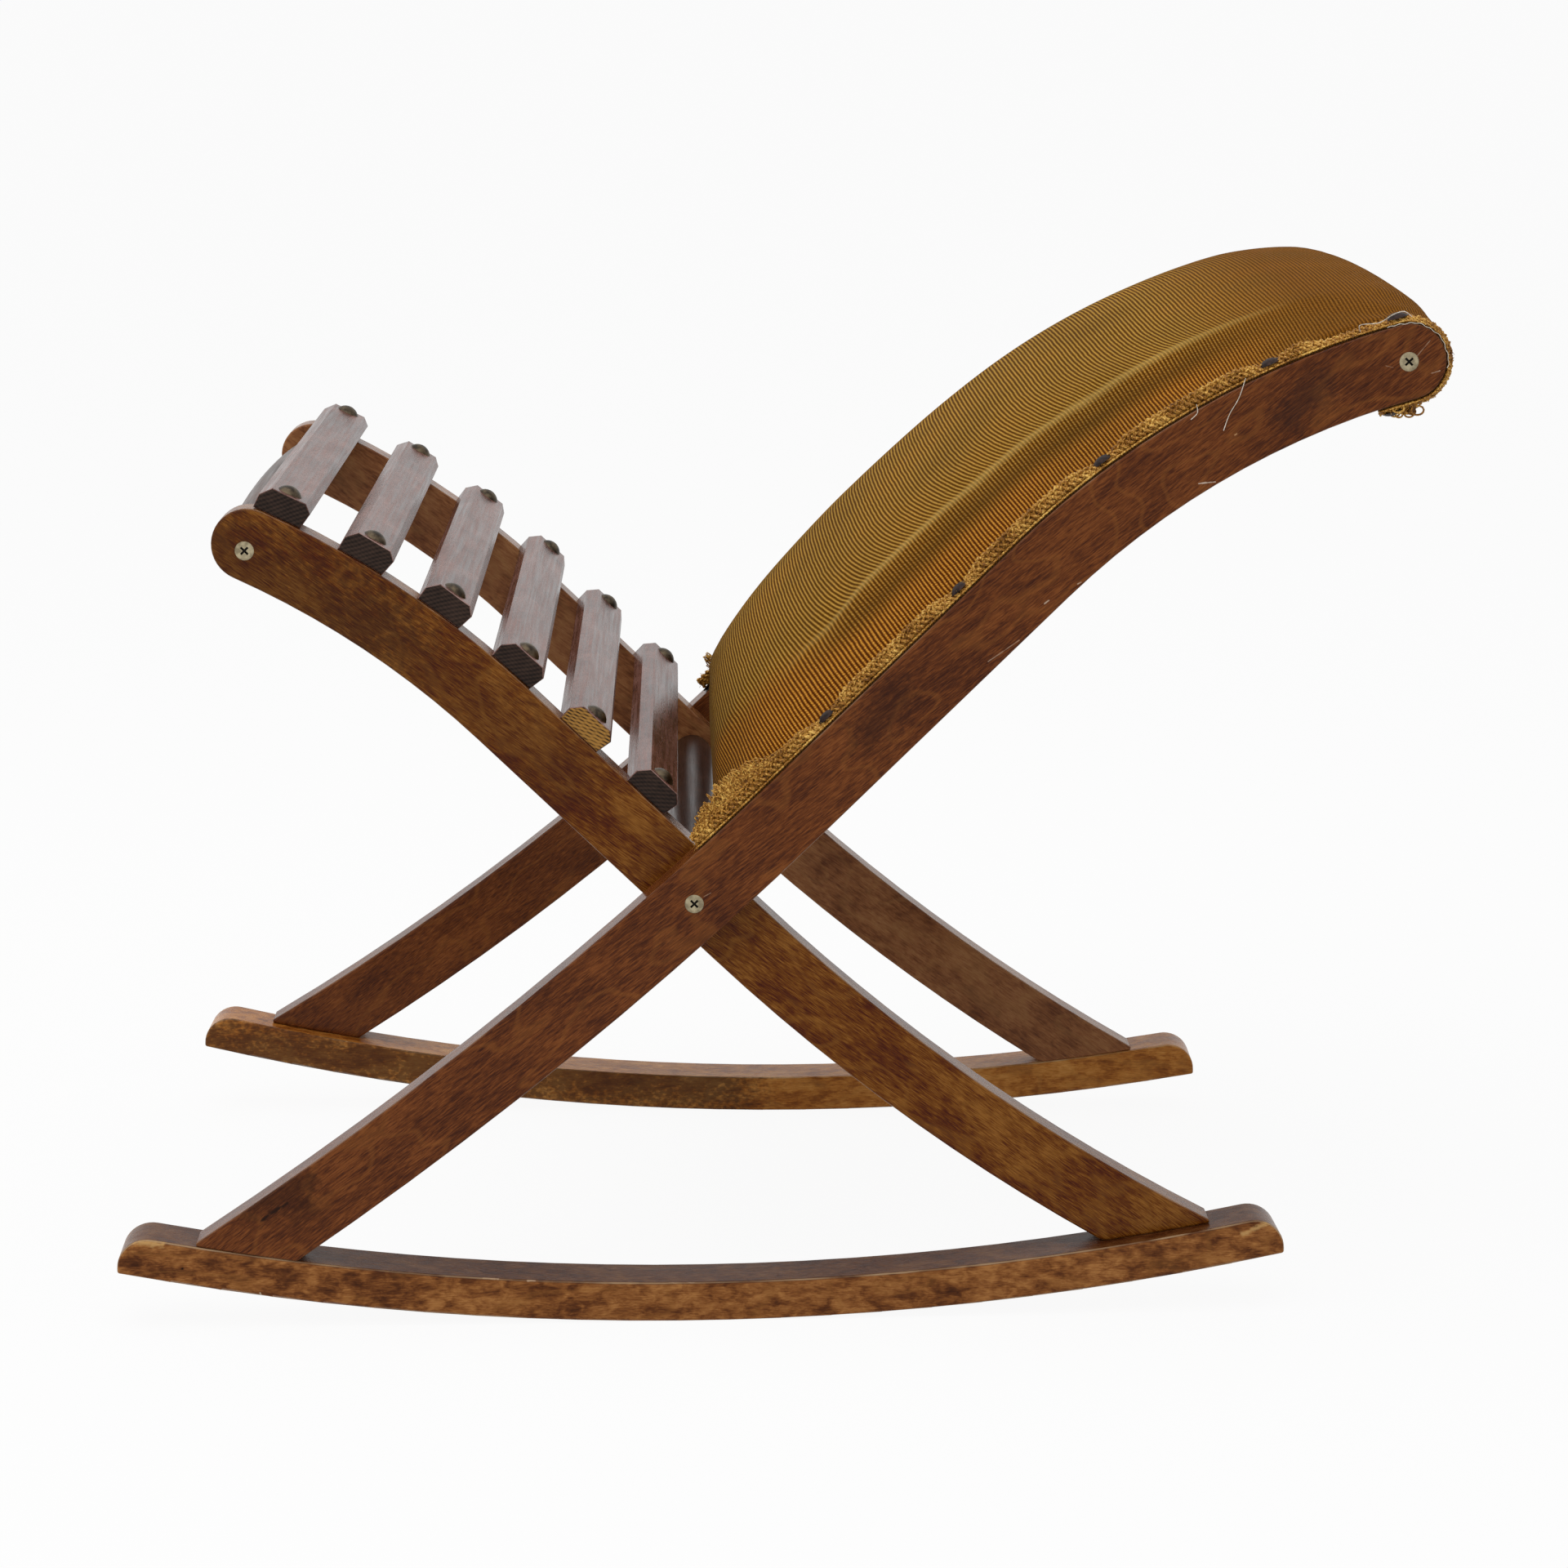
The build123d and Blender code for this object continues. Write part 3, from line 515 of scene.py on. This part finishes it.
# the cushion leg's upper edge in mm, as in the CAD: from the crossing to the round end, as (length, turn)
seatEdge = {
    "crossing": (-1.0, 202.9),
    "halfWidth": 17.0,
    "slope": 42.47,
    "bow": (65.4, 2.022),
    "straight": (154.4, 0.0),
    "top": (198.9, -29.0),
    "roundEnd": (53.4, -180.0),
    "underside": (18.0, 2.87),
}
topLength = seatEdge["bow"][0] + seatEdge["straight"][0] + seatEdge["top"][0]
endLength = topLength + seatEdge["roundEnd"][0]


def edgeAt(distance, lift=0.0):
    # a point on the edge as (x, z), lifted out of the wood, and the way out
    along = radians(seatEdge["slope"])
    x = seatEdge["crossing"][0] - sin(along) * seatEdge["halfWidth"]
    z = seatEdge["crossing"][1] + cos(along) * seatEdge["halfWidth"]
    for stretch in ("bow", "straight", "top", "roundEnd", "underside"):
        length, turn = seatEdge[stretch]
        step = min(distance, length)
        bend = radians(turn) * step / length
        chord = step * sin(bend / 2) / (bend / 2) if bend else step
        x += chord * cos(along + bend / 2)
        z += chord * sin(along + bend / 2)
        along += bend
        distance -= step
        if distance <= 0:
            break
    out = (-sin(along), cos(along))
    return (x + out[0] * lift, z + out[1] * lift), out


def meshObject(name, bm, *materials):
    mesh = bpy.data.meshes.new(name)
    bm.to_mesh(mesh)
    bm.free()
    piece = bpy.data.objects.new(name, mesh)
    bpy.context.scene.collection.objects.link(piece)
    for material in materials:
        mesh.materials.append(material)
    for face in mesh.polygons:
        face.use_smooth = True
    return piece


# the cushion, in mm: its foot on the leg, how its cover is read, and how the filling puffs it up
seat = {
    "start": 29.4, "halfWidth": 177.2, "foot": 1.0, "endTurn": 85.0, "castFrom": 90.0, "samples": 71,
    "creaseAt": 134.0, "creaseWidth": 5.0, "ridge": 1.2,
    "hollowAt": 149.0, "hollowWidth": 10.0, "hollow": 2.4,
    "foldFrom": 95.0, "foldTo": 330.0, "foldFade": 55.0, "sweepFrom": 62.0, "sweep": 8.0,
    "sideFrom": 128.0, "sideFade": 26.0, "sideEarly": 40.0, "sideReach": 110.0, "frontReach": 60.0,
    "endFrom": 330.0, "endFade": 60.0,
    "nails": (103.0, 187.0, 273.0, 359.0, 418.7), "nailPull": 1.6, "nailReach": 13.0,
    "frames": 20, "pressure": 1.6, "shrink": 0.8, "mostMove": 3.0,
}


def castStation(tree, distance):
    # the cover's section at one place along the seat: its height over the edge at each y
    (x, z), out = edgeAt(distance)
    away = Vector((out[0], 0, out[1]))
    points = []
    for number in range(seat["samples"]):
        share = -cos(pi * number / (seat["samples"] - 1))
        foot = Vector((x, share * (seat["halfWidth"] - 0.3), z)) * mm
        hit = tree.ray_cast(foot + away * seat["castFrom"] * mm, -away)[0]
        points.append(hit if hit else foot + away * seat["foot"] * mm)
    edge = [Vector((x, side * seat["halfWidth"], z)) * mm + away * seat["foot"] * mm for side in (-1, 1)]
    return [edge[0], *points, edge[1]]


def resample(points, count):
    # as many points at even spacing along the same line
    lengths = [0.0]
    for first, second in zip(points, points[1:]):
        lengths.append(lengths[-1] + (second - first).length)
    result = []
    at = 0
    for number in range(count):
        wanted = lengths[-1] * number / (count - 1)
        while at < len(points) - 2 and lengths[at + 1] < wanted:
            at += 1
        span = lengths[at + 1] - lengths[at]
        share = (wanted - lengths[at]) / span if span else 0.0
        result.append(points[at].lerp(points[at + 1], share))
    return result, lengths[-1]


def seatStations(tree, count):
    # even spacing over the crown's middle line, from the foot of the front wall round the end
    last = topLength + seatEdge["roundEnd"][0] * seat["endTurn"] / 180
    steps = 400
    distances = [seat["start"] + (last - seat["start"]) * number / steps for number in range(steps + 1)]
    middle = seat["samples"] // 2 + 1
    heights = [castStation(tree, distance)[middle] for distance in distances]
    lengths = [0.0]
    for first, second in zip(heights, heights[1:]):
        lengths.append(lengths[-1] + (second - first).length)
    stations = []
    at = 0
    for number in range(count):
        wanted = lengths[-1] * number / (count - 1)
        while at < steps - 1 and lengths[at + 1] < wanted:
            at += 1
        share = (wanted - lengths[at]) / (lengths[at + 1] - lengths[at])
        stations.append((distances[at] + (distances[at + 1] - distances[at]) * share, wanted))
    return stations


def nailPull(distance, point):
    # the cover is drawn down and in where a nail holds the braid
    pull = sum(exp(-((distance - nail) / seat["nailReach"]) ** 2) for nail in seat["nails"])
    nearEdge = max(0.0, 1 - (seat["halfWidth"] - abs(point.y) / mm) / 16)
    _, out = edgeAt(distance)
    side = 1 if point.y > 0 else -1
    away = Vector((out[0], side * 0.8, out[1])) * mm
    return point - away * seat["nailPull"] * pull * nearEdge * (1 - nearEdge) * 4


def foldShare(distance):
    # the shoulder fold is deep along the straight of the seat and fades out at both ends
    start = min(1.0, max(0.0, (distance - seat["foldFrom"]) / seat["foldFade"]))
    return start * min(1.0, max(0.0, (seat["foldTo"] + seat["foldFade"] - distance) / seat["foldFade"]))


def shoulderFold(distance, point):
    y = abs(point.y) / mm
    _, out = edgeAt(distance)
    side = 1 if point.y > 0 else -1
    away = Vector((out[0], side * 0.7, out[1])).normalized() * mm
    ridge = seat["ridge"] * exp(-((y - seat["creaseAt"]) / seat["creaseWidth"]) ** 2)
    hollow = seat["hollow"] * exp(-((y - seat["hollowAt"]) / seat["hollowWidth"]) ** 2)
    return point + away * (ridge - hollow) * foldShare(distance)


def makeCushion(cover, lining):
    tree = BVHTree.FromObject(nodes["velvet_cover"], bpy.context.evaluated_depsgraph_get())
    rows, columns = velvet["alongCells"], velvet["acrossCells"]
    sections = []
    for distance, length in seatStations(tree, rows + 1):
        points, width = resample(castStation(tree, distance), columns + 1)
        points = [nailPull(distance, shoulderFold(distance, point)) for point in points]
        sections.append((points, distance, length, width))
    bm = bmesh.new()
    bmesh.ops.create_grid(bm, x_segments=rows, y_segments=columns, size=1.0)
    cloth = bm.loops.layers.uv.new("cloth")
    names = ("sideBand", "endBand", "frontShadeBand", "fromMiddle", "fold")
    layers = {name: bm.verts.layers.float.new(name) for name in names}
    sharp = bm.edges.layers.float.new("crease_edge")
    where = {}
    for vert in bm.verts:
        row = round((vert.co.x + 1) / 2 * rows)
        column = round((vert.co.y + 1) / 2 * columns)
        points, distance, length, width = sections[row]
        vert.co = points[column]
        y = abs(points[column].y) / mm
        # the ribs are dragged towards the round end where they meet the fold
        towards = (y - seat["sweepFrom"]) / (seat["creaseAt"] - seat["sweepFrom"])
        drag = min(1.0, max(0.0, towards)) ** 3
        shift = seat["sweep"] * mm * drag * foldShare(distance)
        where[vert] = (length - shift, width * (column / columns - 0.5))
        toEnd = min(1.0, max(0.0, (distance - seat["endFrom"]) / seat["endFade"]))
        vert[layers["endBand"]] = toEnd
        # painted shade on the front wall, fading out up the seat
        vert[layers["frontShadeBand"]] = max(0.0, 1 - length / (seat["frontReach"] * mm))
        # the orange sides reach further up the front wall
        early = seat["sideEarly"] * max(0.0, 1 - length / (seat["sideReach"] * mm))
        sideShare = (y - seat["sideFrom"] + early) / seat["sideFade"]
        vert[layers["sideBand"]] = min(1.0, max(0.0, sideShare)) * (1 - toEnd * 0.7)
        vert[layers["fromMiddle"]] = abs(points[column].y)
        vert[layers["fold"]] = foldShare(distance)
    for face in bm.faces:
        for loop in face.loops:
            loop[cloth].uv = where[loop.vert]
    border = [edge for edge in bm.edges if edge.is_boundary]
    for edge in border:
        edge[sharp] = 1.0
    limit = seat["halfWidth"] * mm - 1e-6
    sideEdges = [edge for edge in border if all(abs(vert.co.y) > limit for vert in edge.verts)]
    bottom = bmesh.ops.bridge_loops(bm, edges=sideEdges)["faces"]
    rest = [edge for edge in bm.edges if edge.is_boundary]
    bottom += bmesh.ops.holes_fill(bm, edges=rest, sides=0)["faces"]
    for face in bottom:
        face.material_index = 1
    bmesh.ops.recalc_face_normals(bm, faces=bm.faces)
    pinned = [vert.index for vert in bm.verts if any(face.material_index == 1 for face in vert.link_faces)]
    cushion = meshObject("velvet_cushion", bm, cover, lining)
    puffUp(cushion, pinned)
    smooth = cushion.modifiers.new("smooth", "SUBSURF")
    smooth.levels = smooth.render_levels = 1
    return cushion


def puffUp(cushion, pinned):
    # the filling presses the cover out between its fastened edges, from a slightly smaller start
    vertices = cushion.data.vertices
    fixed = set(pinned)
    for vert in vertices:
        if vert.index not in fixed:
            vert.co -= vert.normal * seat["shrink"] * mm
    rest = [vert.co.copy() for vert in vertices]
    held = cushion.vertex_groups.new(name="held")
    held.add(pinned, 1.0, "REPLACE")
    cloth = cushion.modifiers.new("cloth", "CLOTH")
    cloth.settings.quality = 6
    cloth.settings.mass = 0.4
    cloth.settings.tension_stiffness = cloth.settings.compression_stiffness = 40
    cloth.settings.bending_stiffness = 2.0
    cloth.settings.use_pressure = True
    cloth.settings.uniform_pressure_force = seat["pressure"]
    cloth.settings.vertex_group_mass = "held"
    cloth.settings.effector_weights.gravity = 0
    cloth.collision_settings.use_collision = False
    scene = bpy.context.scene
    for number in range(1, seat["frames"] + 1):
        scene.frame_set(number)
    evaluated = cushion.evaluated_get(bpy.context.evaluated_depsgraph_get())
    moved = [vert.co.copy() for vert in evaluated.data.vertices]
    cushion.modifiers.remove(cloth)
    scene.frame_set(1)
    farthest = 0.0
    for vert, start, end in zip(vertices, rest, moved):
        step = end - start
        limit = seat["mostMove"] * mm
        farthest = max(farthest, step.length)
        vert.co = start + (step * (limit / step.length) if step.length > limit else step)
    print("cushion puffed up, most", round(farthest / mm, 2), "mm")


# straps from leg to leg under the seat, in mm
webbing = {"count": 6, "width": 50.0, "thickness": 1.5, "start": 29.0, "lift": 0.05}


def makeWebbing(material):
    low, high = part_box("seat_webbing")
    spacing = (topLength - webbing["start"] - webbing["width"]) / webbing["count"]
    bm = bmesh.new()
    for number in range(webbing["count"]):
        first = webbing["start"] + spacing * number + webbing["width"] / 2
        strap = bmesh.ops.create_grid(bm, x_segments=8, y_segments=40, size=1.0)
        for vert in strap["verts"]:
            distance = first + (vert.co.x + 1) / 2 * webbing["width"]
            y = low.y + (vert.co.y + 1) / 2 * (high.y - low.y)
            (x, z), _ = edgeAt(distance, webbing["lift"])
            vert.co = Vector((x * mm, y, z * mm))
    straps = meshObject("webbing_straps", bm, material)
    thick = straps.modifiers.new("thick", "SOLIDIFY")
    thick.thickness = webbing["thickness"] * mm
    thick.offset = 1.0
    return straps


# the trimming braid, in mm: a flat plait that leans on the cushion, frayed into loops near the crossing
gimp = {
    "from": {-1: 19.0, 1: 26.0}, "strands": 3, "pitch": 9.4,
    "yarns": 3, "twist": 5.2, "yarnRadius": 0.55, "yarnGap": 0.72,
    "nails": (103.0, 187.0, 273.0, 359.0, 418.7, 478.0), "nailReach": 15.0, "endStart": 372.0,
    "picotPitch": 2.8, "picotRadius": 0.48, "hairs": 900, "clumps": {-1: 60, 1: 16}, "fibres": 16,
    "tuftLoops": 20, "tuftLow": (313.0, 425.5), "tuftHigh": (325.0, 430.5),
}

# loose thread ends in mm along X and Z, just off the near leg's face
looseThreads = [
    [(246.7, 443.6), (243.9, 434.8), (239.9, 427.5), (237.3, 420.1)],
    [(224.9, 431.9), (225.4, 428.2), (222.5, 425.0)],
    [
        (297.6, 464.2), (297.0, 466.8), (300.0, 467.6), (306.0, 468.2), (312.3, 471.9), (317.0, 473.2),
        (320.6, 470.8),
    ],
]


def nearNail(distance):
    return 1 - min(1.0, min(abs(distance - nail) for nail in gimp["nails"]) / gimp["nailReach"])


def braidSection(distance):
    # the plait's middle as (y, lift), its lean and its half width: drawn in at each nail, thin round the end
    share = (1 - nearNail(distance)) * (1 - min(1.0, max(0.0, (distance - gimp["endStart"]) / 14)))
    lean = radians(16 + 50 * share)
    return 184.6 - 0.8 * share, 1.9 + 2.3 * share, lean, 1.5 + 1.0 * share


def strand(points, radius, sides=1):
    curve = bpy.data.curves.new("strand", "CURVE")
    curve.dimensions = "3D"
    curve.bevel_depth = radius
    curve.bevel_resolution = sides
    curve.use_fill_caps = True
    spline = curve.splines.new("POLY")
    spline.points.add(len(points) - 1)
    for target, point in zip(spline.points, points):
        target.co = (*point, 1)
    holder = bpy.data.objects.new("strand", curve)
    mesh = bpy.data.meshes.new_from_object(holder)
    bpy.data.objects.remove(holder)
    bpy.data.curves.remove(curve)
    return mesh


def roundedLine(points, steps=6):
    # a smooth line through a few points
    smooth = []
    last = len(points) - 1
    for number in range(last):
        near = [points[max(0, min(last, number + shift))] for shift in (-1, 0, 1, 2)]
        before, start, end, after = near
        for step in range(steps):
            t = step / steps
            smooth.append(0.5 * (
                2 * start + (end - before) * t + (2 * before - 5 * start + 4 * end - after) * t * t
                + (3 * start - before - 3 * end + after) * t * t * t
            ))
    return [*smooth, points[-1]]


def braidPoint(distance, y, lift, side):
    (x, z), _ = edgeAt(distance, lift)
    return Vector((x, side * y, z)) * mm


def plaitYarns(side, end):
    meshes = []
    steps = int(end - gimp["from"][side])
    for number in range(gimp["strands"]):
        for yarnNumber in range(gimp["yarns"]):
            points = []
            for step in range(steps + 1):
                distance = gimp["from"][side] + step
                y, lift, lean, width = braidSection(distance)
                turn = 2 * pi * (distance / gimp["pitch"] + number / gimp["strands"])
                twist = 2 * pi * (distance / gimp["twist"] + yarnNumber / gimp["yarns"])
                up = width * sin(turn) + gimp["yarnGap"] * cos(twist)
                over = 0.75 * sin(2 * turn) + gimp["yarnGap"] * sin(twist)
                beside = y - up * cos(lean) + over * sin(lean)
                points.append(braidPoint(distance, beside, lift + up * sin(lean) + over * cos(lean), side))
            meshes.append(strand(points, gimp["yarnRadius"] * mm))
    return meshes


def picotEdge(side, end):
    # small loops along the outer edge, seen as a row of beads
    points = []
    steps = int((end - gimp["from"][side]) / gimp["picotPitch"] * 8)
    for number in range(steps + 1):
        distance = gimp["from"][side] + (end - gimp["from"][side]) * number / steps
        turn = 2 * pi * distance / gimp["picotPitch"]
        lift = 1.05 + 0.35 * cos(turn)
        points.append(braidPoint(distance + 0.7 * sin(turn), 187.4 + 0.7 * cos(turn), lift, side))
    return strand(points, gimp["picotRadius"] * mm)


def braidBacking(side, end):
    # the tape that the plait is worked on, just behind it
    bm = bmesh.new()
    steps = int((end - gimp["from"][side]) / 3)
    bmesh.ops.create_grid(bm, x_segments=steps, y_segments=4, size=1.0)
    for vert in bm.verts:
        distance = gimp["from"][side] + (end - gimp["from"][side]) * (vert.co.x + 1) / 2
        y, lift, lean, width = braidSection(distance)
        up = vert.co.y * (width + 0.5)
        beside = y - up * cos(lean) - 0.5 * sin(lean)
        vert.co = braidPoint(distance, beside, lift + up * sin(lean) - 0.5 * cos(lean), side)
    mesh = bpy.data.meshes.new("braidBacking")
    bm.to_mesh(mesh)
    bm.free()
    return mesh


def frayedLoops(side, chance):
    # clumps of fine pulled-up fibres, tallest 46 mm from the crossing
    meshes = []
    for clump in range(gimp["clumps"][side]):
        middle = gimp["from"][side] + 3 + 95 * chance.random() ** 1.25
        tall = 11.0 * exp(-((middle - 46) / 20) ** 2) + 2.4
        lay = chance.uniform(-3.0, 6.0)
        for number in range(gimp["fibres"]):
            distance = middle + chance.gauss(0, 1.3)
            height = tall * chance.uniform(0.4, 1.0)
            span = lay + chance.gauss(0, 1.4)
            y, lift, _, _ = braidSection(distance)
            bow = chance.uniform(-0.6, 2.0)
            curl = chance.uniform(-0.9, 0.9)
            points = []
            for step in range(8):
                t = step / 7
                rise = sin(pi * t * 0.78)
                place = distance + span * t + curl * sin(2 * pi * t)
                beside = y - 1.2 + bow * rise - height * rise * 0.25
                points.append(braidPoint(place, beside, lift * 0.7 + height * rise, side))
            meshes.append(strand(points, chance.uniform(0.2, 0.36) * mm, 0))
    return meshes


def looseFibres(side, end, chance):
    meshes = []
    for number in range(gimp["hairs"]):
        distance = gimp["from"][side] + (end - gimp["from"][side]) * chance.random() ** 1.25
        y, lift, lean, width = braidSection(distance)
        up = width * chance.uniform(-1.2, 1.3)
        start = Vector((distance, y - up * cos(lean) + 1.0, lift + up * sin(lean)))
        reach = Vector((chance.uniform(-3.0, 3.0), chance.uniform(-0.8, 1.6), chance.uniform(-1.2, 1.6)))
        bend = Vector((chance.uniform(-1, 1), chance.uniform(-0.4, 0.6), chance.uniform(-1, 0.7)))
        points = []
        for t in (0.0, 0.35, 0.7, 1.0):
            at = start + reach * t + bend * t * t
            points.append(braidPoint(at.x, min(at.y, 190.0), max(at.z, 0.4), side))
        meshes.append(strand(points, 0.1 * mm, 0))
    return meshes


def frayedTuft(side, chance):
    # the braid's cut end behind the underside nail, a bunch of curled yarns
    meshes = []
    low, high = gimp["tuftLow"], gimp["tuftHigh"]
    for number in range(gimp["tuftLoops"]):
        share = chance.random()
        middle = Vector((
            low[0] + (high[0] - low[0]) * share,
            side * chance.uniform(180, 187.5),
            chance.uniform(low[1], high[1]) + share,
        ))
        size = chance.uniform(1.5, 3.0)
        tilt = chance.uniform(-1.0, 1.0)
        turns = chance.uniform(0.9, 1.6)
        first = chance.uniform(0, 2 * pi)
        points = []
        for step in range(17):
            angle = first + 2 * pi * turns * step / 16
            points.append((middle + Vector((
                cos(angle) * size, side * tilt * sin(angle), sin(angle) * size * 0.75,
            ))) * mm)
        meshes.append(strand(points, 0.45 * mm))
    return meshes


def turnedEdge(side, end):
    # the velvet's own edge, folded flat on the leg under the braid: a dark strip that paints the shade under
    # it
    bm = bmesh.new()
    steps = int((end - gimp["from"][side]) / 4)
    bmesh.ops.create_grid(bm, x_segments=steps, y_segments=4, size=1.0)
    for vert in bm.verts:
        distance = gimp["from"][side] + (end - gimp["from"][side]) * (vert.co.x + 1) / 2
        across = (vert.co.y + 1) / 2
        # its inner edge rises under the cushion, its outer edge lies on the leg
        lift = 0.5 if across < 0.9 else 0.1
        beside = 172.0 + min(across, 0.75) / 0.75 * 16.2
        vert.co = braidPoint(distance, beside, max(lift, 2.2 - across * 8), side)
    bmesh.ops.recalc_face_normals(bm, faces=bm.faces)
    mesh = bpy.data.meshes.new("turnedEdge")
    bm.to_mesh(mesh)
    bm.free()
    return mesh


def endThread(side):
    # the pale selvedge thread that shows round the leg's end
    points = []
    steps = 60
    for number in range(steps + 1):
        distance = topLength - 6 + 40 * number / steps
        wave = sin(number * 0.9) * 0.22 + sin(number * 0.37) * 0.2
        points.append(braidPoint(distance, 189.1, 0.45 + wave, side))
    return strand(points, 0.17 * mm)


def makeBraid(name, side, materials):
    end = endLength + seatEdge["underside"][0]
    chance = random.Random(11 + side)
    golden = [*plaitYarns(side, end), picotEdge(side, end), *frayedLoops(side, chance)]
    golden += [*looseFibres(side, end, chance), *frayedTuft(side, chance), braidBacking(side, end)]
    pale = [endThread(side)]
    if side < 0:
        for line in looseThreads:
            points = roundedLine([
                Vector((x, -189.5 - 0.25 * (number % 2), z)) for number, (x, z) in enumerate(line)
            ])
            pale.append(strand([point * mm for point in points], 0.2 * mm))
    bm = bmesh.new()
    for slot, meshes in enumerate((golden, pale, [turnedEdge(side, end)])):
        for mesh in meshes:
            already = len(bm.faces)
            bm.from_mesh(mesh)
            bm.faces.ensure_lookup_table()
            for face in bm.faces[already:]:
                face.material_index = slot
            bpy.data.meshes.remove(mesh)
    return meshObject(name, bm, *materials)


def dress(node, material):
    nodes[node].data.materials.clear()
    nodes[node].data.materials.append(material)


def makeFloor():
    material, tree = newMaterial("paleFloor")
    paint = addNode(tree, "BsdfDiffuse", {"Color": linear(studio["floorShade"])})
    glow = addNode(tree, "Emission", {"Color": (1, 1, 1, 1), "Strength": 1.0})
    share = calculate(tree, "MULTIPLY", seenOnly(tree), studio["floorWhite"])
    finishMaterial(tree, addNode(tree, "MixShader", {0: share, 1: paint.outputs[0], 2: glow.outputs[0]}))
    bm = bmesh.new()
    bmesh.ops.create_circle(bm, cap_ends=True, segments=96, radius=studio["floorRadius"])
    meshObject("floor", bm, material)


def seenOnly(tree):
    # 1 for what the camera, a gloss or clear glass sees, 0 for the light that falls on the object
    path = addNode(tree, "LightPath").outputs
    glossy = calculate(tree, "MAXIMUM", path["Is Camera Ray"], path["Is Glossy Ray"])
    return calculate(tree, "MAXIMUM", glossy, path["Is Transmission Ray"])


def makeWorld():
    world = bpy.data.worlds.new("studio")
    world.use_nodes = True
    tree = world.node_tree
    tree.nodes.clear()
    level = addNode(tree, "MapRange", {
        "Value": seenOnly(tree), "To Min": studio["worldLevel"], "To Max": 1.0,
    })
    background = addNode(tree, "Background", {"Color": (1, 1, 1, 1), "Strength": level.outputs[0]})
    addNode(tree, "OutputWorld", {"Surface": background.outputs[0]})
    bpy.context.scene.world = world


placeCamera()
for name, look in lamps.items():
    addLamp(name, look)

dress("left_cushion_leg", beech("nearCushionLegBeech", woods["cushionLeg"], 1, marks=cushionLegMarks))
dress("right_cushion_leg", beech("farCushionLegBeech", woods["cushionLeg"], 2))
dress("left_slat_leg", beech("nearSlatLegBeech", woods["slatLeg"], 3, marks=slatLegMarks))
# the far slat leg wears its painted lighter copy of the slat leg's beech
dress("right_slat_leg", beech("farSlatLegBeechPaintedLight", woods["farSlatLeg"], 4))
dress("left_rocker", beech("nearRockerBeech", woods["rocker"], 5, marks=rockerMarks))
# the far rocker wears its painted lighter copy of the rocker's beech
dress("right_rocker", beech("farRockerBeechPaintedLight", woods["farRocker"], 6, marks=farRockerMarks))
for number, spindle in enumerate(("crossing_spindle", "cushion_end_spindle", "slat_end_spindle")):
    dress(spindle, beech("spindleBeech" + str(number + 1), woods["spindle"], 7 + number, alongY=True))
for number in range(1, 7):
    ends = goldenEnd if number == 5 else endGrain
    dress(f"slat_{number}", beech(f"slatBeech{number}", woods["slat"], 10 + number, alongY=True, ends=ends))
dress("foot_dowels", beech("dowelBeech", woods["rocker"], 20))
print("wood finished")

dress("slat_nails", nailMetal("patinatedBrass", metals["patinatedBrass"]))
dress("left_braid_nails", nailMetal("blackenedIronLeft", metals["blackenedIron"]))
dress("right_braid_nails", nailMetal("blackenedIronRight", metals["blackenedIron"]))
slots = ((175.0, 188.35), (160.0, 170.35))  # depths in mm at which the screws' slots lie
dress("frame_screws", nailMetal("screwBrass", metals["screwBrass"], slots=slots))
print("metal finished")

cushion = makeCushion(ribbedVelvet(), wovenCloth("hessian"))
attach(cushion, "root")
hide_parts("velvet_cover", "cushion_pad", "base_cloth")
print("cushion made")

straps = makeWebbing(wovenCloth("juteWebbing"))
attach(straps, "root")
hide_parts("seat_webbing")
print("webbing made")

braidMaterials = [yarn("rayonGimp"), yarn("rawCotton"), wovenCloth("turnedVelvetPaintedShade")]
for name, side in (("left", -1), ("right", 1)):
    braid = makeBraid(name + "_gimp", side, braidMaterials)
    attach(braid, "root")
    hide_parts(name + "_braid")
print("braid made")

makeFloor()
makeWorld()
bpy.context.scene.view_settings.view_transform = "Standard"
